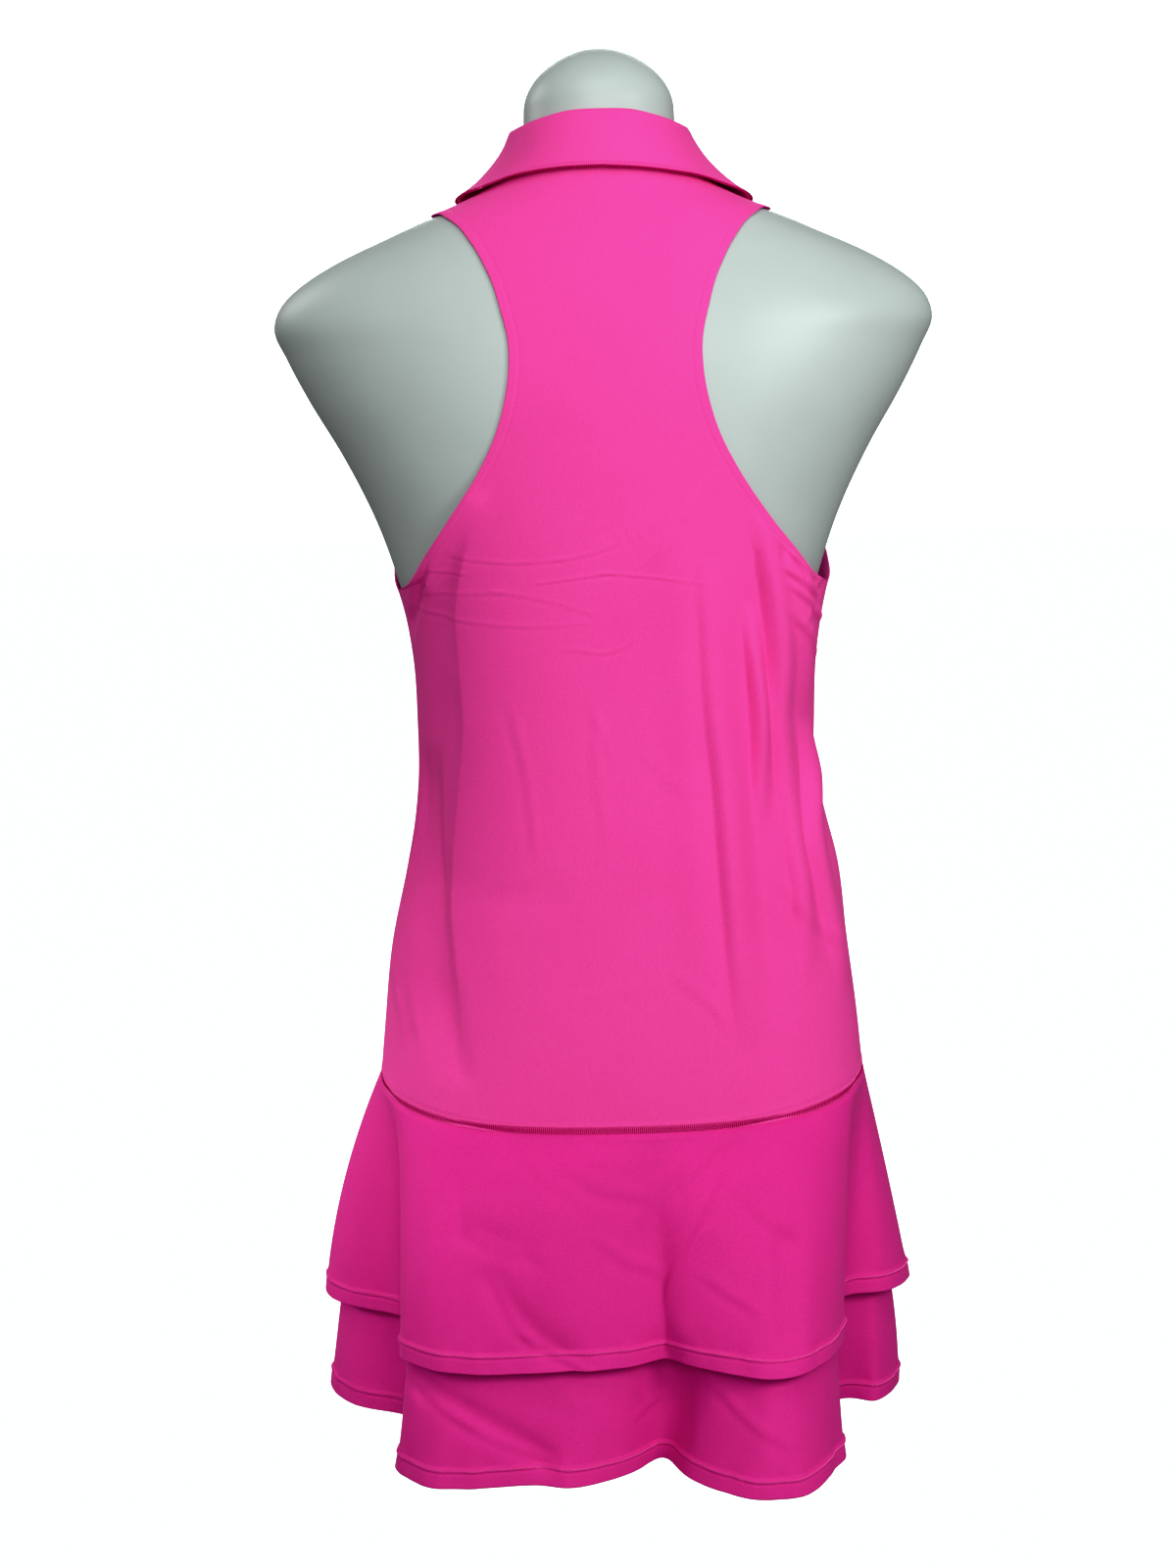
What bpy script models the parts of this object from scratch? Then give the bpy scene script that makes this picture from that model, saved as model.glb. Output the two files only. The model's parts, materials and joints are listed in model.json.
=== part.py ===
"""A sleeveless racerback athletic dress with a turned-down collar and a two-tier skirt, worn by a smooth
limbless dress form.

Metres, +Z up. The origin is the middle of the form's flat base. The back of the dress faces -Y and its
front +Y. A place on the body is named by its height and its turn: 0 degrees is the centre back, 90 the
right-hand side as seen from behind (+X), -90 the left-hand side and 180 the centre front.
"""

import bmesh
import bpy
import numpy as np

# ---------------------------------------------------------------------------------------------
# Driving sizes
# ---------------------------------------------------------------------------------------------
WALL = 0.0015              # cloth wall: stretch jersey with its turned and stitched edges
SEAM_GAP = 0.0004          # parting between two pieces that are sewn together
CLOTH_LIFT = 0.00095       # inner face of the bodice above the body it lies on
FACE_CLEARANCE = 0.00045   # least height of the middles of its flat faces and edges above the body
COLLAR_GAP = 0.0009        # parting between the collar and the bodice's neckline
SIDE_SEAM_TURN = 79.0      # the side seams lie a little towards the back
SHOULDER_TURN = 89.86      # the shoulder seam runs along the ridge of the shoulder
SIDE_SEAM_PARTING = 0.14   # degrees between the back and front panels at the side seam
UNDERARM_HEIGHT = 0.555    # top of the side seams
SHOULDER_HEIGHT = 0.7922   # shoulder seam at the armhole
NECK_POINT_HEIGHT = 0.818  # shoulder seam at the collar
WAIST_SEAM_HEIGHT = 0.214  # dropped waist seam at the centre back and front
WAIST_SEAM_RISE = 0.017    # how much higher that seam lies at the sides
UPPER_FLARE = 1.35         # how early the upper tier swings out: 1 is a straight cone
UPPER_FLARE_LEAN = 0.25    # it swings out earlier on the left and later on the right
TIER_TOP_LIFT = 0.0022     # middle of the upper tier's wall outside the body line at the seam
LAYER_GAP_TOP = 0.0029     # middle of the lower tier's wall inside the upper one's at the seam
LAYER_GAP_HEM = 0.0120     # and at the height of the upper hem
LOWER_SWING_START = 0.5    # where the lower tier starts to leave the upper one's form
LOWER_SWING_POWER = 3.4
TIER_SIDE_PARTING = 0.10   # degrees left free at each side seam of the tiers
NECK_TOP = 0.897           # top of the form
DOME_START = 0.857         # where its neck starts to round over
DOME_POWER = 0.6           # how square the top of the neck is: 0.5 is half an ellipse
DOME_ANGLES = (20.0, 38.0, 54.0, 68.0, 80.0)    # its rings, as degrees up the quarter ellipse
BASE_ROUNDING = 0.003
COLLAR_ROLL = 0.0013       # radius of the middle of the collar's fold
FORM_ROUNDNESS = 2.2       # power of the form's oval sections: 2 is an ellipse

SIDE_SEAM_ROWS = 11
BACK_COLUMNS, BACK_ROWS = 23, 32
FRONT_COLUMNS, FRONT_ROWS = 25, 33
ROW_CROWDING = 1.4         # rows crowd towards the shoulder, where the body is roundest
TIER_COLUMNS, UPPER_ROWS, LOWER_ROWS = 40, 7, 8
COLLAR_COLUMNS, COLLAR_ROWS = 52, 10
FORM_COLUMNS = 40
SETTLING_STEPS = 8         # steps that bring a point onto the body line
EASING_STEPS = 5           # steps that lift the cloth till its flat faces clear the body too

# Sections of the form, from its base to its neck.
FORM_COLUMNS_NAMED = ("height", "half_width", "back", "front")
FORM_SECTIONS = (
    (0.0000, 0.1080, 0.0800, 0.0760),
    (0.0800, 0.1230, 0.0900, 0.0840),
    (0.1500, 0.1370, 0.1000, 0.0900),
    (0.2150, 0.1470, 0.1050, 0.0940),
    (0.2900, 0.1420, 0.0985, 0.0920),
    (0.3600, 0.1260, 0.0870, 0.0880),
    (0.4300, 0.1180, 0.0800, 0.0860),
    (0.5000, 0.1240, 0.0850, 0.0960),
    (0.5600, 0.1380, 0.0940, 0.1120),
    (0.6000, 0.1515, 0.0990, 0.1190),
    (0.6400, 0.1705, 0.1020, 0.1140),
    (0.6800, 0.1935, 0.1020, 0.1040),
    (0.7050, 0.2060, 0.1000, 0.0960),
    (0.7240, 0.2135, 0.0970, 0.0880),
    (0.7425, 0.2050, 0.0920, 0.0790),
    (0.7550, 0.1890, 0.0870, 0.0720),
    (0.7675, 0.1660, 0.0820, 0.0660),
    (0.7775, 0.1430, 0.0780, 0.0620),
    (0.7875, 0.1200, 0.0735, 0.0585),
    (0.7970, 0.0950, 0.0690, 0.0560),
    (0.8065, 0.0750, 0.0655, 0.0540),
    (0.8135, 0.0650, 0.0630, 0.0525),
    (0.8200, 0.0580, 0.0605, 0.0510),
    (0.8290, 0.0530, 0.0570, 0.0490),
    (0.8380, 0.0498, 0.0535, 0.0470),
    (0.8570, 0.0484, 0.0495, 0.0455),
)

# Stretches of the form and how many rings each has, closer together where it curves most.
# Each row is its lowest height, its highest height and its number of rings.
FORM_RINGS = (
    (BASE_ROUNDING, 0.560, 11),
    (0.590, 0.700, 6),
    (0.714, 0.796, 11),
    (0.801, 0.838, 9),
    (0.847, DOME_START, 2),
)

# Sections of the dress where it hangs free of the form; above them it lies on the form.
DRESS_COLUMNS_NAMED = ("height", "left", "right", "back", "front", "roundness")
HANGING_SECTIONS = (
    (0.2050, 0.1603, 0.1644, 0.1125, 0.1065, 2.5),
    (0.2310, 0.1583, 0.1619, 0.1120, 0.1055, 2.5),
    (0.2650, 0.1548, 0.1589, 0.1105, 0.1040, 2.42),
    (0.3190, 0.1483, 0.1524, 0.1070, 0.1015, 2.35),
    (0.3720, 0.1363, 0.1464, 0.1030, 0.0995, 2.3),
    (0.4000, 0.1308, 0.1394, 0.1010, 0.0985, 2.3),
    (0.4300, 0.1273, 0.1329, 0.0990, 0.0985, 2.3),
    (0.4700, 0.1268, 0.1324, 0.0980, 0.1015, 2.3),
    (0.5100, 0.1283, 0.1344, 0.0985, 0.1080, 2.3),
    (0.5420, 0.1333, 0.1394, 0.0995, 0.1150, 2.3),
    (0.5600, 0.1383, 0.1436, 0.1000, 0.1190, 2.3),
    (0.6000, 0.1518, 0.1523, 0.1010, 0.1215, 2.3),
)

# The armhole edge of each bodice panel, upwards from the underarm, and how high the same row of cloth
# lies on the panel's centre line.
ARMHOLE_COLUMNS_NAMED = ("height", "half_width", "centre_height")
BACK_ARMHOLE = (
    (0.5610, 0.1305, 0.5680),
    (0.5830, 0.1120, 0.5880),
    (0.6060, 0.0940, 0.6080),
    (0.6300, 0.0785, 0.6300),
    (0.6540, 0.0670, 0.6520),
    (0.6890, 0.0590, 0.6860),
    (0.7240, 0.0625, 0.7200),
    (0.7480, 0.0700, 0.7440),
    (0.7690, 0.0810, 0.7660),
    (0.7800, 0.0890, 0.7820),
    (0.7880, 0.0985, 0.8000),
)
BACK_CENTRE_ENDS = (0.5600, 0.8215)    # the same centre line at the underarm and at the neck
FRONT_ARMHOLE = (
    (0.5750, 0.1420, 0.5390),
    (0.6000, 0.1330, 0.5570),
    (0.6400, 0.1250, 0.5840),
    (0.6800, 0.1200, 0.6110),
    (0.7200, 0.1170, 0.6380),
    (0.7500, 0.1140, 0.6590),
    (0.7720, 0.1115, 0.6770),
    (0.7860, 0.1095, 0.6900),
)
FRONT_CENTRE_ENDS = (0.5260, 0.7000)

# Neckline, from the centre back to the neck point, then down the open V of the front.
BACK_NECK_COLUMNS_NAMED = ("turn", "height")
BACK_NECK = (
    (0.0, 0.8215),
    (45.0, 0.8205),
    (SHOULDER_TURN, NECK_POINT_HEIGHT),
)
FRONT_NECK_COLUMNS_NAMED = ("height", "half_width")
FRONT_NECK = (
    (0.8080, 0.0580),
    (0.7950, 0.0530),
    (0.7700, 0.0410),
    (0.7400, 0.0245),
    (0.7150, 0.0090),
    (0.7000, 0.0000),
)
BACK_NECK_SHARE = 0.62     # share of the top row that is neckline; the rest is shoulder seam
FRONT_NECK_SHARE = 0.72
TOP_BEND = 1.6             # how late a panel's rows bend into its top edge
STRAIGHTENING = 3.0        # how soon above the narrowest row the rows become parabolas
FOLD_FADE = 0.02           # height above the waist seam over which the folds grow
LONG_FOLD = 0.1            # a fold longer than this grows and fades over its first and last third

# The collar, by stations along the neckline: how high its stand is and how far it leans out, then the
# outer edge of its leaf and how far that edge stands off the body. `crown` is the leaf's bulge.
COLLAR_COLUMNS_NAMED = ("station", "stand", "lean", "crown", "edge_height", "edge_half_width", "front",
                        "lift")
COLLAR_STATIONS = (
    (0.00, 0.0278, 8.0, 0.0015, 0.8134, 0.0000, 0, 0.0062),
    (0.12, 0.0280, 8.5, 0.0015, 0.8120, 0.0210, 0, 0.0060),
    (0.20, 0.0264, 12.0, 0.0010, 0.8105, 0.0330, 0, 0.0060),
    (0.28, 0.0250, 18.0, 0.0000, 0.8086, 0.0450, 0, 0.0060),
    (0.38, 0.0242, 26.0, -0.0020, 0.8058, 0.0620, 0, 0.0058),
    (0.45, 0.0250, 31.0, -0.0040, 0.8013, 0.0785, 0, 0.0058),
    (0.50, 0.0251, 34.0, -0.0035, 0.7988, 0.0885, 0, 0.0061),
    (0.55, 0.0233, 36.0, -0.0010, 0.7952, 0.0945, 1, 0.0064),
    (0.62, 0.0200, 40.0, 0.0000, 0.7830, 0.0970, 1, 0.0060),
    (0.74, 0.0150, 46.0, 0.0025, 0.7560, 0.0860, 1, 0.0050),
    (0.86, 0.0105, 55.0, 0.0030, 0.7250, 0.0720, 1, 0.0048),
    (0.95, 0.0080, 62.0, 0.0030, 0.7060, 0.0560, 1, 0.0046),
    (1.00, 0.0070, 66.0, 0.0030, 0.6960, 0.0240, 1, 0.0046),
)
LEAF_STEPS = (0.0, 0.3, 0.65, 1.0)    # steps of the profile down the leaf, as shares of its width
LEAF_CLEARANCE = 0.0044    # middle of the leaf's wall above the body, where it lies on the bodice
LEFT_LEAF_DRAW = 0.10      # share by which the leaf's edge lies closer to the neck on the left
LEFT_LEAF_RISE = 0.0020    # and how much higher
LEFT_LEAF_START = 0.28     # station from where that holds in full
COLLAR_END = 0.965         # station of the collar's front end, just short of the point of the V

# Both hems, a row for each side of each fold, from the left side seam round the back and the front.
# The lower tier hangs inside the upper one, in the same folds.
HEM_COLUMNS_NAMED = ("turn", "upper_x", "upper_y", "upper_height", "lower_x", "lower_y", "lower_height")
HEM_FOLDS = (
    (-90.0, -0.2035, 0.0000, 0.079, -0.2030, 0.0020, 0.010),
    (-80.0, -0.1900, -0.0310, 0.078, -0.1860, -0.0330, 0.008),
    (-71.0, -0.1500, -0.0540, 0.077, -0.1490, -0.0490, 0.006),
    (-65.0, -0.1250, -0.0730, 0.077, -0.1080, -0.0680, 0.006),
    (-60.0, -0.1385, -0.1000, 0.077, -0.1360, -0.0980, 0.006),
    (-55.0, -0.1430, -0.1240, 0.077, -0.1480, -0.1250, 0.005),
    (-47.0, -0.1270, -0.1470, 0.077, -0.1310, -0.1560, 0.005),
    (-36.0, -0.0980, -0.1595, 0.077, -0.1050, -0.1640, 0.005),
    (-22.0, -0.0570, -0.1600, 0.077, -0.0620, -0.1630, 0.006),
    (-8.0, -0.0210, -0.1585, 0.077, -0.0280, -0.1640, 0.005),
    (0.0, 0.0030, -0.1520, 0.077, 0.0000, -0.1470, 0.005),
    (8.0, 0.0250, -0.1395, 0.077, 0.0220, -0.1270, 0.006),
    (15.0, 0.0400, -0.1520, 0.077, 0.0360, -0.1540, 0.005),
    (25.0, 0.0680, -0.1710, 0.077, 0.0600, -0.1790, 0.005),
    (37.0, 0.0930, -0.1780, 0.077, 0.0850, -0.1870, 0.004),
    (46.0, 0.1120, -0.1660, 0.077, 0.1100, -0.1790, 0.004),
    (54.0, 0.1310, -0.1360, 0.077, 0.1270, -0.1500, 0.005),
    (60.0, 0.1380, -0.1070, 0.078, 0.1365, -0.1200, 0.005),
    (66.0, 0.1270, -0.0750, 0.079, 0.1080, -0.0680, 0.005),
    (72.0, 0.1460, -0.0490, 0.081, 0.1430, -0.0380, 0.005),
    (80.0, 0.1750, -0.0400, 0.081, 0.1680, -0.0390, 0.004),
    (90.0, 0.1955, -0.0020, 0.078, 0.1880, -0.0010, 0.004),
    (101.0, 0.1780, 0.0330, 0.078, 0.1690, 0.0340, 0.007),
    (109.0, 0.1460, 0.0530, 0.077, 0.1440, 0.0480, 0.006),
    (116.0, 0.1260, 0.0700, 0.077, 0.1080, 0.0660, 0.006),
    (122.0, 0.1380, 0.1000, 0.077, 0.1340, 0.0980, 0.006),
    (131.0, 0.1260, 0.1360, 0.078, 0.1260, 0.1420, 0.006),
    (145.0, 0.0860, 0.1530, 0.078, 0.0880, 0.1600, 0.006),
    (159.0, 0.0440, 0.1480, 0.078, 0.0460, 0.1540, 0.006),
    (169.0, 0.0180, 0.1330, 0.078, 0.0180, 0.1220, 0.007),
    (178.0, -0.0080, 0.1440, 0.078, -0.0100, 0.1500, 0.006),
    (192.0, -0.0460, 0.1570, 0.078, -0.0450, 0.1660, 0.006),
    (208.0, -0.0870, 0.1590, 0.078, -0.0860, 0.1680, 0.006),
    (223.0, -0.1210, 0.1410, 0.078, -0.1190, 0.1480, 0.006),
    (234.0, -0.1370, 0.1080, 0.078, -0.1340, 0.1060, 0.006),
    (243.0, -0.1260, 0.0730, 0.078, -0.1080, 0.0680, 0.006),
    (250.0, -0.1500, 0.0520, 0.078, -0.1480, 0.0480, 0.007),
    (260.0, -0.1880, 0.0300, 0.079, -0.1850, 0.0320, 0.010),
)
FULL_TURN = 360.0
TIER_SIDES = {"back": (-90.0, 90.0), "front": (90.0, 270.0)}

# Drape folds and creases that stand in or out of a panel: from one end to the other, bowed sideways by
# `bow`; `depth` is positive for a ridge and negative for a trough.
FOLD_COLUMNS_NAMED = ("x0", "z0", "x1", "z1", "bow", "width", "depth")
FOLDS = {
    "bodice_back": (
        (0.056, 0.620, 0.082, 0.240, 0.004, 0.011, 0.0036),
        (0.086, 0.612, 0.104, 0.330, 0.004, 0.012, -0.0042),
        (0.088, 0.540, 0.096, 0.380, 0.002, 0.007, 0.0020),
        (0.117, 0.585, 0.124, 0.400, 0.002, 0.009, 0.0030),
        (-0.084, 0.610, -0.117, 0.562, 0.003, 0.008, 0.0025),
        (-0.103, 0.602, -0.119, 0.300, 0.004, 0.009, -0.0040),
        (-0.110, 0.372, -0.040, 0.364, 0.003, 0.010, -0.0022),
        (-0.106, 0.300, -0.100, 0.250, 0.000, 0.007, -0.0020),
    ),
    "bodice_front": (
        (0.062, 0.575, 0.088, 0.250, 0.004, 0.011, 0.0035),
        (0.080, 0.560, 0.106, 0.280, 0.004, 0.010, -0.0035),
        (-0.064, 0.575, -0.090, 0.260, -0.004, 0.011, 0.0030),
        (-0.084, 0.550, -0.108, 0.300, -0.004, 0.010, -0.0030),
        (0.020, 0.520, 0.030, 0.300, 0.003, 0.012, -0.0020),
        (0.135, 0.600, 0.146, 0.580, 0.000, 0.012, 0.0060),
        (-0.135, 0.600, -0.146, 0.580, 0.000, 0.012, 0.0070),
    ),
    "upper_tier_back": (
        (0.070, 0.203, 0.038, 0.180, 0.002, 0.008, -0.0026),
        (0.100, 0.146, 0.101, 0.102, 0.002, 0.010, -0.0040),
        (-0.082, 0.130, -0.034, 0.082, 0.004, 0.009, -0.0030),
        (-0.100, 0.160, -0.060, 0.149, 0.000, 0.008, -0.0020),
    ),
    "lower_tier_back": (
        (-0.132, 0.064, -0.054, 0.022, -0.003, 0.008, -0.0030),
    ),
    "upper_tier_front": (
        (-0.070, 0.200, -0.040, 0.160, 0.002, 0.009, -0.0030),
        (0.080, 0.140, 0.086, 0.100, 0.002, 0.010, -0.0035),
    ),
    "lower_tier_front": (
        (0.100, 0.062, 0.050, 0.026, 0.003, 0.008, -0.0025),
    ),
}

# Finish of each material: base colour (linear red, green, blue), roughness and metallic.
PINK_JERSEY = ("pink jersey", (0.800, 0.045, 0.330), 0.80, 0.0)
FORM_PLASTIC = ("pale satin plastic", (0.560, 0.640, 0.625), 0.38, 0.0)


# ---------------------------------------------------------------------------------------------
# Curves through tables
# ---------------------------------------------------------------------------------------------
def column(names, rows, name):
    """One named column of a table, as an array."""
    return np.array([row[names.index(name)] for row in rows], dtype=float)


def smooth(knots, values, at):
    """Value at AT of the smooth curve through the knots.

    Each span is a cubic between two knots, whose slope at a knot is the weighted mean of the slopes on
    either side of it.
    """
    slopes = np.gradient(values, knots)
    span = np.clip(np.searchsorted(knots, at, side="right") - 1, 0, len(knots) - 2)
    width = knots[span + 1] - knots[span]
    t = (at - knots[span]) / width
    return ((1 + 2 * t) * (1 - t) ** 2 * values[span] + t * (1 - t) ** 2 * width * slopes[span]
            + t ** 2 * (3 - 2 * t) * values[span + 1] + t ** 2 * (t - 1) * width * slopes[span + 1])


def along_route(points):
    """Distance of each point of a route from its start."""
    steps = np.linalg.norm(np.diff(points, axis=0), axis=1)
    return np.concatenate([[0.0], np.cumsum(steps)])


# ---------------------------------------------------------------------------------------------
# Body and dress sections
# ---------------------------------------------------------------------------------------------
def dress_sections():
    """The hanging sections of the dress, and above them the form's own, on which the cloth lies."""
    top = HANGING_SECTIONS[-1][0]
    on_form = tuple((height, half, half, back, front, FORM_ROUNDNESS)
                    for height, half, back, front in FORM_SECTIONS if height > top + 0.01)
    return HANGING_SECTIONS + on_form


DRESS_SECTIONS = dress_sections()


def oval(turn, left, right, back, front, roundness):
    """Plan point of an oval at a turn in degrees.

    The sine and cosine of the turn, divided by their sum in the power `roundness`, are the shares of
    the half width and of the back or front depth.
    """
    across, behind = np.sin(np.radians(turn)), np.cos(np.radians(turn))
    size = (np.abs(across) ** roundness + np.abs(behind) ** roundness) ** (1 / roundness)
    half = np.where(across < 0, left, right)
    depth = np.where(behind > 0, back, front)
    return half * across / size, -depth * behind / size


def on_dress(height, turn):
    """Point of the dress's body line at a height and a turn."""
    heights = column(DRESS_COLUMNS_NAMED, DRESS_SECTIONS, "height")
    sizes = [smooth(heights, column(DRESS_COLUMNS_NAMED, DRESS_SECTIONS, name), height)
             for name in DRESS_COLUMNS_NAMED[1:]]
    x, y = oval(turn, *sizes)
    return np.stack(np.broadcast_arrays(x, y, height), axis=-1)


def lifted(height, turn, lift):
    """Point of the body line, moved out along its normal.

    The normal is the cross product of the steps round the body and up it.
    """
    rise, swing = 0.0002, 0.05
    up = on_dress(height + rise, turn) - on_dress(height - rise, turn)
    round_body = on_dress(height, turn + swing) - on_dress(height, turn - swing)
    normal = np.cross(round_body, up)
    normal /= np.linalg.norm(normal, axis=-1, keepdims=True)
    return on_dress(height, turn) + normal * np.asarray(lift)[..., None]


def body_value(points):
    """How far points lie outside the body line, as a share of their distance from its middle.

    It is the root of the summed powers of x over the half width and y over the depth, less 1.
    """
    x, y, height = points[..., 0], points[..., 1], points[..., 2]
    heights = column(DRESS_COLUMNS_NAMED, DRESS_SECTIONS, "height")
    left, right, back, front, roundness = (
        smooth(heights, column(DRESS_COLUMNS_NAMED, DRESS_SECTIONS, name), height)
        for name in DRESS_COLUMNS_NAMED[1:])
    across = np.abs(x) / np.where(x < 0, left, right)
    behind = np.abs(y) / np.where(y < 0, back, front)
    return (across ** roundness + behind ** roundness) ** (1 / roundness) - 1


def body_slope(points):
    """Gradient of the body value, from small steps each way."""
    step = 0.0001
    return np.stack([(body_value(points + move) - body_value(points - move)) / (2 * step)
                     for move in np.eye(3) * step], axis=-1)


def settled(points):
    """Points brought onto the body line by Newton steps down its gradient."""
    for _ in range(SETTLING_STEPS):
        slope = body_slope(points)
        size = np.sum(slope ** 2, axis=-1)
        points = points - slope * (body_value(points) / size)[..., None]
    return points


def outward(points):
    """Outward normal of the body line at points that lie on it."""
    slope = body_slope(points)
    return slope / np.linalg.norm(slope, axis=-1, keepdims=True)


def held_off(points, clearance):
    """Points moved out along the body's normal where they lie closer to the body than a clearance."""
    below = settled(points)
    normal = outward(below)
    height = np.sum((points - below) * normal, axis=-1)
    return points + normal * np.maximum(clearance - height, 0.0)[..., None]


def eased(grid, lift):
    """Lift of each point of a grid, raised till the middles of its faces and edges clear the body."""
    normal = outward(grid)
    near, far, whole = slice(None, -1), slice(1, None), slice(None)
    pairs = (((near, whole), (far, whole)), ((whole, near), (whole, far)),
             ((near, near), (far, far)), ((near, far), (far, near)))
    for _ in range(EASING_STEPS):
        points = grid + normal * lift[..., None]
        raised = lift.copy()
        for one, other in pairs:
            middle = (points[one] + points[other]) / 2
            height = body_value(middle) / np.linalg.norm(body_slope(middle), axis=-1)
            short = np.maximum(FACE_CLEARANCE - height, 0.0)
            raised[one] = np.maximum(raised[one], lift[one] + short)
            raised[other] = np.maximum(raised[other], lift[other] + short)
        lift = raised
    return lift


def turn_at(height, half_width, front=False):
    """Turn of the point that lies at a height and at a distance from the centre line."""
    heights = column(DRESS_COLUMNS_NAMED, DRESS_SECTIONS, "height")
    half = smooth(heights, column(DRESS_COLUMNS_NAMED, DRESS_SECTIONS, "right"), height)
    power = smooth(heights, column(DRESS_COLUMNS_NAMED, DRESS_SECTIONS, "roundness"), height)
    across = np.minimum(half_width / half, 0.999)
    behind = (1 - across ** power) ** (1 / power)
    turn = np.degrees(np.arctan2(across, behind))
    return np.where(front, 180.0 - turn, turn)


def waist_seam_height(turn):
    """Height of the dropped waist seam: level over the back and front, rising to the side seams."""
    return WAIST_SEAM_HEIGHT + WAIST_SEAM_RISE * np.abs(np.sin(np.radians(turn))) ** 4


def fold_height(piece, x, z):
    """How far the folds of a piece push its cloth out at a place.

    Each fold is a bell across its line, which fades beyond its ends. A long one grows as 3 t squared
    - 2 t cubed over each end third.
    """
    total = np.zeros(np.broadcast(x, z).shape)
    for x0, z0, x1, z1, bow, width, depth in FOLDS.get(piece, ()):
        length = np.hypot(x1 - x0, z1 - z0)
        along_x, along_z = (x1 - x0) / length, (z1 - z0) / length
        along = ((x - x0) * along_x + (z - z0) * along_z) / length
        inside = np.clip(along, 0, 1)
        across = (x - x0) * along_z - (z - z0) * along_x - bow * 4 * inside * (1 - inside)
        beyond = (along - inside) * length
        grown = np.clip(np.minimum(inside, 1 - inside) * 3, 0, 1) if length > LONG_FOLD else 1.0
        depth = depth * grown * grown * (3 - 2 * grown)
        total += depth * np.exp(-(across ** 2 + beyond ** 2) / width ** 2)
    return total


# ---------------------------------------------------------------------------------------------
# Meshes
# ---------------------------------------------------------------------------------------------
def material(finish):
    """A Principled BSDF material, made once for each finish."""
    name, colour, roughness, metallic = finish
    made = bpy.data.materials.get(name)
    if made is None:
        made = bpy.data.materials.new(name)
        made.use_nodes = True
        shader = made.node_tree.nodes["Principled BSDF"]
        shader.inputs["Base Color"].default_value = (*colour, 1.0)
        shader.inputs["Roughness"].default_value = roughness
        shader.inputs["Metallic"].default_value = metallic
        made.diffuse_color = (*colour, 1.0)
    return made


def add_object(name, points, faces, finish):
    """A named object from points and faces, its faces turned outwards and shaded smooth."""
    mesh = bpy.data.meshes.new(name)
    mesh.from_pydata([tuple(point) for point in points], [], faces)
    body = bmesh.new()
    body.from_mesh(mesh)
    bmesh.ops.recalc_face_normals(body, faces=body.faces)
    body.to_mesh(mesh)
    body.free()
    mesh.materials.append(material(finish))
    mesh.shade_smooth()
    mesh.set_sharp_from_angle(angle=np.radians(50.0))
    thing = bpy.data.objects.new(name, mesh)
    bpy.context.collection.objects.link(thing)
    return thing


def cloth_wall(name, outer, inner, finish):
    """A closed wall between two grids of points of the same size, joined round their four edges."""
    rows, columns = outer.shape[:2]
    index = np.arange(rows * columns).reshape(rows, columns)
    under = index + rows * columns
    corners = (index[:-1, :-1], index[:-1, 1:], index[1:, 1:], index[1:, :-1])
    faces = [tuple(face) for face in np.stack([c.ravel() for c in corners], axis=1).tolist()]
    faces += [tuple(reversed([corner + rows * columns for corner in face])) for face in faces]
    rim = np.concatenate([index[0, :-1], index[:-1, -1], index[-1, :0:-1], index[:0:-1, 0]])
    rim_under = np.concatenate([under[0, :-1], under[:-1, -1], under[-1, :0:-1], under[:0:-1, 0]])
    for here in range(len(rim)):
        onward = (here + 1) % len(rim)
        faces.append((int(rim[here]), int(rim_under[here]), int(rim_under[onward]), int(rim[onward])))
    points = np.concatenate([outer.reshape(-1, 3), inner.reshape(-1, 3)])
    return add_object(name, points, faces, finish)


def grid_normals(grid):
    """Normals of a grid of points: the cross product of the steps along its rows and its columns."""
    along = np.gradient(grid, axis=1)
    across = np.gradient(grid, axis=0)
    normal = np.cross(along, across)
    return normal / np.linalg.norm(normal, axis=-1, keepdims=True)


# ---------------------------------------------------------------------------------------------
# Dress form
# ---------------------------------------------------------------------------------------------
def make_form():
    """The form: a tower of oval rings with a flat base and a rounded neck top."""
    heights = np.concatenate([[0.0]] + [np.linspace(*stretch) for stretch in FORM_RINGS])
    table_heights = column(FORM_COLUMNS_NAMED, FORM_SECTIONS, "height")
    half, back, front = (smooth(table_heights, column(FORM_COLUMNS_NAMED, FORM_SECTIONS, name), heights)
                         for name in FORM_COLUMNS_NAMED[1:])
    for size in (half, back, front):
        size[0] -= BASE_ROUNDING
    share = np.sin(np.radians(DOME_ANGLES))
    narrowing = (1 - share ** 2) ** DOME_POWER
    heights = np.concatenate([heights, DOME_START + (NECK_TOP - DOME_START) * share])
    half, back, front = (np.concatenate([size, size[-1] * narrowing]) for size in (half, back, front))
    turns = np.linspace(0, FULL_TURN, FORM_COLUMNS, endpoint=False)
    x, y = oval(turns[None, :], half[:, None], half[:, None], back[:, None], front[:, None],
                FORM_ROUNDNESS)
    rings = np.stack(np.broadcast_arrays(x, y, heights[:, None]), axis=-1)
    points = np.concatenate([rings.reshape(-1, 3), [(0.0, 0.0, NECK_TOP)]])
    count = len(heights)
    faces = []
    for ring in range(count - 1):
        for here in range(FORM_COLUMNS):
            onward = (here + 1) % FORM_COLUMNS
            low, high = ring * FORM_COLUMNS, (ring + 1) * FORM_COLUMNS
            faces.append((low + here, low + onward, high + onward, high + here))
    last = (count - 1) * FORM_COLUMNS
    faces += [(last + here, last + (here + 1) % FORM_COLUMNS, count * FORM_COLUMNS)
              for here in range(FORM_COLUMNS)]
    faces.append(tuple(reversed(range(FORM_COLUMNS))))
    return add_object("form", points, faces, FORM_PLASTIC)


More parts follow.
